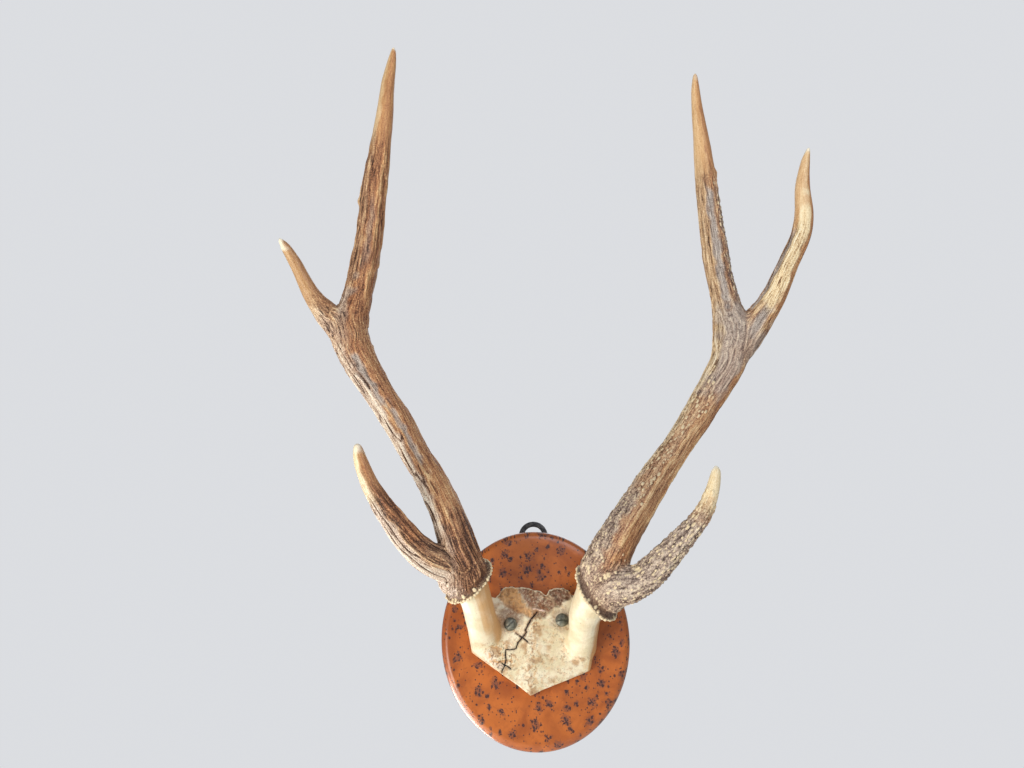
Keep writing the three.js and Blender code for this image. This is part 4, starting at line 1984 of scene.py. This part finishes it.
@dataclass
class Plaque:
    """The oval burr-wood plaque."""

    width: float = 176.0
    height: float = 200.0
    thickness: float = 18.0
    edge_radius: float = 8.0
    sides: int = 256

    def build(self, hanger: Hanger) -> Piece:
        """Builds and dresses the plaque.

        Args:
            hanger: The hanger that is let into its back.

        Returns:
            The finished piece.
        """
        radius = self.height / 2
        edge = [
            (
                radius - self.edge_radius * (1 - math.cos(math.radians(a))),
                self.thickness - self.edge_radius * (1 - math.sin(math.radians(a))),
            )
            for a in range(0, 91, 10)
        ]
        profile = [(radius - 1.0, 0.0), (radius - 0.3, 0.3), (radius, 1.0), *edge, (radius - 12.0, 18.0)]
        piece = turned("burr_wood_plaque", profile, self.sides)
        piece.scale = (self.width / self.height, 1, 1)
        settle(piece)
        stand_out(piece, 0.0, 0.0, 0.0)
        recess = hanger.outline(hanger.foot, -1.0, 2.6)
        cut_away(piece, recess)
        return finish_piece(piece, WoodFinish("spotted_burr_wood").material(), ["plaque"], 35)


# ---- Studio ----


@dataclass
class Studio:
    """The floor, the soft lights and the camera."""

    camera_place: Triple = (-33.3, -971.2, -25.0)  # millimetres
    yaw: float = 1.48  # degrees
    pitch: float = 15.91
    roll: float = -3.26
    lens: float = 35.0
    floor_drop: float = 1.25  # metres below the origin
    floor_radius: float = 9.0

    def build(self) -> None:
        """Adds the floor, the lights, the world and the camera to the scene."""
        self._floor()
        self._camera()
        self._soft_light("key", (-1.5, -1.6, -0.5), (0.05, 0.0, 0.2), 1.2, 33.0, tone(255, 248, 238))
        self._soft_light("low", (-1.15, -0.5, -0.95), (0.0, 0.0, 0.0), 0.9, 9.0, tone(255, 248, 240))
        self._soft_light("fill", (0.9, -1.9, 1.3), (0.0, 0.0, 0.1), 1.8, 27.0, tone(236, 242, 255))
        self._soft_light("back", (0.4, 1.8, 1.2), (0.0, 0.0, 0.2), 1.8, 12.0, tone(240, 245, 255))
        sheen = self._soft_light("sheen", (-1.0, 0.4, -1.3), (0.0, 0.0, 0.0), 2.2, 150.0, tone(255, 244, 240))
        sheen.visible_diffuse = False
        self._air()
        bpy.context.scene.view_settings.view_transform = "Standard"

    @staticmethod
    def _air() -> None:
        """A pale world that lights the trophy less than it shows behind it."""
        world = bpy.data.worlds.new("studio_air")
        world.use_nodes = True
        tree = world.node_tree
        background = tree.nodes["Background"]
        background.inputs["Color"].default_value = tone(236, 238, 242)
        path = tree.nodes.new("ShaderNodeLightPath")
        strength = tree.nodes.new("ShaderNodeMapRange")
        strength.inputs["To Min"].default_value = 0.3
        strength.inputs["To Max"].default_value = 0.85
        tree.links.new(path.outputs["Is Camera Ray"], strength.inputs["Value"])
        tree.links.new(strength.outputs["Result"], background.inputs["Strength"])
        bpy.context.scene.world = world

    def _floor(self) -> None:
        """A wide pale disc well below the hanging trophy."""
        choose()
        bpy.ops.mesh.primitive_circle_add(
            vertices=128, radius=self.floor_radius, fill_type="NGON", location=(0, 0, -self.floor_drop)
        )
        floor = bpy.context.object
        floor.name = "studio_floor"
        settle(floor)
        bench = Bench("studio_paint")
        bench.shade(Base_Color=tone(228, 228, 226), Roughness=0.8)
        bench.shade(Emission_Color=tone(228, 228, 226), Emission_Strength=0.24, Specular_IOR_Level=0.0)
        floor.data.materials.append(bench.material)

    def _camera(self) -> None:
        """A camera at the viewer's eye."""
        yaw, pitch, roll = (math.radians(a) for a in (self.yaw, self.pitch, self.roll))
        ahead = Vector(
            (math.sin(yaw) * math.cos(pitch), math.cos(yaw) * math.cos(pitch), math.sin(pitch))
        )
        level = ahead.cross(Vector((0, 0, 1))).normalized()
        above = level.cross(ahead)
        right = math.cos(roll) * level + math.sin(roll) * above
        top = math.cos(roll) * above - math.sin(roll) * level
        lens = bpy.data.cameras.new("viewer")
        lens.lens = self.lens
        lens.sensor_width = 36.0
        lens.clip_start = 0.01
        lens.clip_end = 100.0
        camera = bpy.data.objects.new("viewer", lens)
        turn = Matrix((right, top, -ahead)).transposed()
        camera.rotation_euler = turn.to_euler()
        camera.location = Vector(self.camera_place) * MM
        bpy.context.scene.collection.objects.link(camera)
        bpy.context.scene.camera = camera

    @staticmethod
    def _soft_light(
        name: str, place: Triple, target: Triple, size: float, power: float, colour: tuple
    ) -> Piece:
        """A square area light that faces a target.

        Args:
            name: The light's name.
            place: Where it stands, in metres.
            target: What it faces.
            size: Its side in metres.
            power: Its power in watts.
            colour: Its colour.

        Returns:
            The light.
        """
        lamp = bpy.data.lights.new(name, "AREA")
        lamp.size = size
        lamp.energy = power
        lamp.color = colour[:3]
        light = bpy.data.objects.new(name, lamp)
        light.location = place
        light.rotation_euler = (Vector(target) - Vector(place)).to_track_quat("-Z", "Y").to_euler()
        bpy.context.scene.collection.objects.link(light)
        return light


# ---- The trophy ----

LEFT_STATIONS: dict[Tine, tuple[Station, ...]] = {
    Tine.STEM: (
        (-46, 22, 4, 15.5), (-49, 42, 17, 14.5), (-52, 59, 32, 14), (-57.3, 74.3, 50, 15.5),
        (-61.5, 83, 64, 17), (-67, 88, 84, 16), (-75, 84, 111, 14.6), (-88, 68, 143, 14),
        (-105, 49, 176, 13.5), (-122, 34, 211, 14.5), (-141, 26, 244, 14.5), (-159, 23, 278, 17.2),
        (-168.3, 23, 308, 18.3), (-160, 22, 347, 14.6), (-151.6, 22, 386, 14), (-145.6, 23, 425, 13.3),
        (-141, 27, 463, 13.2), (-134, 34, 500, 11.5), (-127, 45, 534, 9.3), (-121, 58, 568, 7),
        (-116.3, 66, 585, 5), (-113.3, 72, 596, 2.8), (-112.8, 74.5, 599.6, 1),
    ),
    Tine.OUTER: (
        (-168, 23, 301, 17.5), (-177, 24, 314, 16.5), (-191, 25, 328, 12.3), (-205.3, 29, 347, 8.6),
        (-220.4, 38, 379, 6.3), (-229, 43, 394, 4.8), (-233.8, 45.5, 401, 2.4), (-235, 46, 403.3, 1),
    ),
    Tine.BROW: (
        (-64, 83, 66, 13), (-78, 87, 65, 14.5), (-91, 93, 71, 14), (-103, 98, 81, 12.5),
        (-121, 108, 104, 10), (-137, 115, 130, 8.1), (-145.5, 120, 152, 6.5), (-147.7, 122, 162, 5.1),
        (-148.6, 123.3, 168, 3.3), (-148.7, 123.7, 170, 1.2),
    ),
}

RIGHT_STATIONS: dict[Tine, tuple[Station, ...]] = {
    Tine.STEM: (
        (40, 22, -10, 15.5), (42.8, 42, 4, 13.4), (44.3, 61, 19, 14.9), (52, 77, 34, 17), (58, 89, 50, 20),
        (67, 95, 68, 18.5), (80, 91, 87, 17), (99, 77, 112, 15.8), (120, 60, 139.6, 14.7),
        (144.6, 44, 169, 13.4), (169.6, 31, 201, 14.7), (192.6, 25, 233, 16), (208.8, 24, 258.6, 17.7),
        (216, 24, 285, 20.3), (213.2, 23, 316, 15), (210, 22, 346, 13.1), (209, 22, 376, 13.2),
        (207.2, 25, 415, 11.8), (205.4, 30, 453, 11.1), (203.8, 39, 491, 8.7), (200, 52, 525, 5.9),
        (198.3, 61, 543, 4.5), (198, 67.5, 554, 2.6), (198, 69, 557.4, 1),
    ),
    Tine.OUTER: (
        (215, 24, 265, 15.5), (230.5, 27, 284, 15.2), (244.6, 33, 301.5, 13.3), (256, 39, 316, 12),
        (272, 50, 346, 10.3), (289, 57, 378, 9.8), (293, 60, 398, 9.4), (293, 67, 424, 7.4),
        (297, 75, 448, 4.4), (300, 78.5, 458, 2.2), (300.8, 79.3, 460.5, 1),
    ),
    Tine.BROW: (
        (60, 90, 43, 17), (76, 97, 38.5, 16.8), (91, 103, 42, 13.9), (102, 109, 50, 13),
        (122, 118, 69, 10.3), (143, 123, 90, 8), (152.5, 124, 105, 6.6), (158, 124, 119, 5.5),
        (160.8, 123.3, 129, 4.3), (161.3, 123, 132, 2.9), (161.4, 123, 134.4, 1.1),
    ),
}

LEFT_PATCHES = patches(
    {
        # pale patches lie on the viewer's left: rubbed antler with painted light on the lit side
        (Look.PALE, Tine.STEM): [
            (5.0, 11.0, -60, 34, 0.95), (10.5, 12.9, -62, 32, 0.75), (3.0, 5.0, -60, 42, 0.6),
            (17.5, 22.5, -70, 50, 0.42),
        ],
        (Look.PALE, Tine.OUTER): [(-1.0, 2.5, -60, 45, 0.5), (2.5, 8.0, -60, 45, 0.1)],
        (Look.DARK, Tine.STEM): [
            (12.0, 19.0, 0, 180, 0.35), (2.8, 5.6, 30, 75, 0.95), (11.6, 12.8, -22, 18, 0.7),
        ],
        (Look.PALE, Tine.BROW): [(0.5, 5.5, -66, 46), (5.0, 9.5, -80, 65, 0.95)],
        (Look.WARM, Tine.STEM): [
            (5.5, 12.0, -20, 22, 0.5), (5.8, 12.6, 50, 50, 0.85), (13.0, 23.0, 55, 45, 0.85),
            (13.5, 18.5, 6, 26, 0.7), (2.8, 6.0, 35, 70, 0.5), (11.0, 13.8, 42, 56, 0.95),
        ],
        (Look.WARM, Tine.OUTER): [(1.5, 8.0, 60, 45, 0.5)],
        (Look.WARM, Tine.BROW): [(3.0, 10.0, 60, 55, 0.9)],
        (Look.GREY, Tine.STEM): [
            (9.5, 11.2, -12, 13), (7.2, 9.3, 5, 10, 0.8), (13.6, 15.5, 8, 14, 0.3),
            (3.0, 4.0, -70, 35, 0.8),
        ],
        (Look.DARK, Tine.BROW): [(0.5, 6.5, 50, 58, 0.95)],
        (Look.GRANULAR, Tine.STEM): [(11.6, 13.0, -22, 20, 0.7), (3.0, 4.2, -70, 35, 0.5)],
        (Look.SMOOTH, Tine.STEM): [
            (11.0, 13.6, 42, 50, 0.8), (5.5, 12.8, 50, 42, 0.8), (13.5, 18.5, 6, 20, 0.8),
        ],
        (Look.RIDGED, Tine.STEM): [
            (13.0, 17.6, -28, 8), (13.0, 17.6, 40, 8, 0.9), (5.4, 10.6, -38, 6, 0.8),
        ],
        (Look.GROOVED, Tine.STEM): [(9.5, 11.2, -12, 13), (7.2, 9.3, 5, 10, 0.8), (13.2, 17.0, 8, 14, 0.5)],
    }
)

RIGHT_PATCHES = patches(
    {
        (Look.PEARLED, Tine.STEM): [
            (2.8, 4.3), (4.0, 7.2, -74, 56), (7.0, 10.6, -35, 38, 0.25), (14.0, 17.8, 72, 34, 0.25),
        ],
        (Look.GRANULAR, Tine.STEM): [(14.0, 17.8, 72, 34, 0.7), (12.0, 13.6, 5, 40, 0.7)],
        (Look.PEARLED, Tine.BROW): [(-1.0, 5.6), (5.0, 6.8, -60, 60, 0.8)],
        (Look.SMOOTH, Tine.STEM): [(4.7, 7.6, 34, 54), (7.4, 12.6, 45, 40, 0.6)],
        (Look.SMOOTH, Tine.OUTER): [(2.0, 6.5, 25, 75, 0.75)],
        (Look.WARM, Tine.STEM): [
            (4.7, 7.8, 34, 54, 0.9), (7.3, 12.7, 44, 50, 0.9), (14.5, 18.0, 62, 34, 0.4),
            (17.8, 24.0, 52, 42, 0.85), (5.8, 10.6, 5, 62, 0.8),
        ],
        (Look.WARM, Tine.OUTER): [(2.0, 8.0, 70, 35), (5.5, 8.0, 10, 180, 0.3)],
        (Look.WARM, Tine.BROW): [(0.5, 6.5, 75, 35, 0.7)],
        # pale patches lie mostly on the viewer's left: rubbed antler with painted light on the lit side
        (Look.PALE, Tine.STEM): [
            (7.5, 13.0, -72, 28, 0.6), (13.5, 19.5, -62, 34, 0.25), (19.0, 23.0, -60, 40, 0.3),
            (6.5, 10.4, 0, 50, 0.12),
        ],
        (Look.RIDGED, Tine.STEM): [
            (13.4, 18.0, -78, 5, 0.9), (6.2, 10.2, -14, 6, 0.8), (5.0, 10.0, 14, 6), (6.5, 9.5, 66, 7),
            (10.4, 12.6, -30, 6, 0.7), (13.4, 18.0, -52, 6, 0.9), (13.4, 18.0, -28, 6, 0.9),
        ],
        (Look.PALE, Tine.OUTER): [(2.5, 6.5, -8, 36), (6.0, 11.0, -40, 70, 0.3)],
        (Look.PALE, Tine.BROW): [(5.6, 11.0, -20, 110, 0.95)],
        (Look.GREY, Tine.STEM): [
            (3.3, 7.0, -60, 70, 0.15), (10.6, 14.0, -10, 60, 0.7), (6.5, 11.0, -78, 22, 0.35),
            (14.0, 17.6, -5, 18),
        ],
        (Look.GREY, Tine.OUTER): [(-1.0, 1.4, 0, 180, 0.6), (2.0, 5.0, -62, 14), (0.5, 2.8, 8, 20)],
        (Look.GRANULAR, Tine.OUTER): [(-1.0, 0.8, 0, 180, 0.5)],
        (Look.GREY, Tine.BROW): [(-1.0, 6.0, -30, 80, 0.35)],
        (Look.DARK, Tine.STEM): [(14.0, 17.8, 72, 36, 0.3)],
        (Look.DARK, Tine.OUTER): [(1.5, 5.5, -80, 12, 0.7)],
        (Look.RIDGED, Tine.OUTER): [(0.8, 5.8, -26, 6), (0.8, 3.6, 34, 6)],
        (Look.RIDGED, Tine.BROW): [(0.5, 5.6, 25, 6, 0.8)],
        (Look.GROOVED, Tine.STEM): [(14.0, 17.6, -5, 18, 0.7)],
        (Look.GROOVED, Tine.OUTER): [(2.0, 5.0, -62, 14, 0.8), (0.5, 2.8, 8, 20, 0.4)],
    }
)

PLATE_OUTLINE: tuple[Pair, ...] = (
    (-60, -9), (-8, -49), (48, -31), (58, 8), (54, 30), (35.5, 37.2), (32.2, 41.9), (27.7, 44.5),
    (21.1, 44.4), (15.0, 43.3), (11.9, 38.0), (7.0, 42.4), (0.6, 43.2), (-4.9, 45.8), (-15.1, 46.8),
    (-25.2, 47.8), (-31.0, 43.5), (-35.2, 38.3), (-46, 42), (-64, 28),
)


def main() -> None:
    """Builds the trophy in order and reports each piece."""
    logging.basicConfig(level=logging.INFO, format="%(name)s: %(message)s")
    Studio().build()
    left = Antler(
        side=Side.LEFT,
        finish=AntlerFinish(
            "ridged_antler",
            horn=tones((126, 84, 52), (160, 116, 76), (180, 136, 92), (198, 160, 112), (220, 190, 146)),
            pale=tones((84, 62, 48), (154, 128, 108), (192, 170, 150), (220, 202, 180), (242, 232, 212)),
        ),
        burr=Burr((-57.3, 74.3, 50), (-0.545, 0.57, 0.615), 25.2, 0.9, 0.4),
        split_station=11,
        stations=LEFT_STATIONS,
        smooth_tips={Tine.STEM: 100.0, Tine.OUTER: 75.0, Tine.BROW: 42.0},
        patches=LEFT_PATCHES,
        knobs=(Knob(Tine.STEM, 15.6, -88, 7.0, 2.2), Knob(Tine.STEM, 11.6, -85, 20.0, 1.0)),
        ridge_height=1.5,
        slit_depth=1.25,
        seed=11,
    )
    right = Antler(
        side=Side.RIGHT,
        finish=AntlerFinish(
            "pearled_antler",
            pale=tones((118, 86, 56), (198, 165, 121), (230, 206, 162), (243, 223, 181), (250, 238, 208)),
        ),
        burr=Burr((52, 77, 34), (0.75, 0.52, 0.41), 28.0, 0.84, 0.68),
        split_station=12,
        stations=RIGHT_STATIONS,
        smooth_tips={Tine.STEM: 104.0, Tine.OUTER: 82.0, Tine.BROW: 40.0},
        patches=RIGHT_PATCHES,
        knobs=(Knob(Tine.STEM, 18.2, 88, 7.0, 2.0), Knob(Tine.STEM, 13.3, 88, 15.0, 2.4)),
        ridge_height=1.3,
        seed=23,
        slit_depth=0.9,
        voxel=0.74,
    )
    left.build()
    right.build()
    pedicles = (left.routes[Tine.STEM], right.routes[Tine.STEM])
    SkullPlate(PLATE_OUTLINE, (5, 17), pedicles, 3.3).build()
    steel = SteelFinish("old_steel", tone(92, 94, 84), tone(134, 134, 120), 0.4, 0.42).material()
    SkullScrew("left_screw", -23.0, 14.0, 38.0).build(steel)
    SkullScrew("right_screw", 24.5, 15.0, 4.0).build(steel)
    hanger = Hanger()
    Plaque().build(hanger)
    hanger.build()


if __name__ == "__main__":
    main()
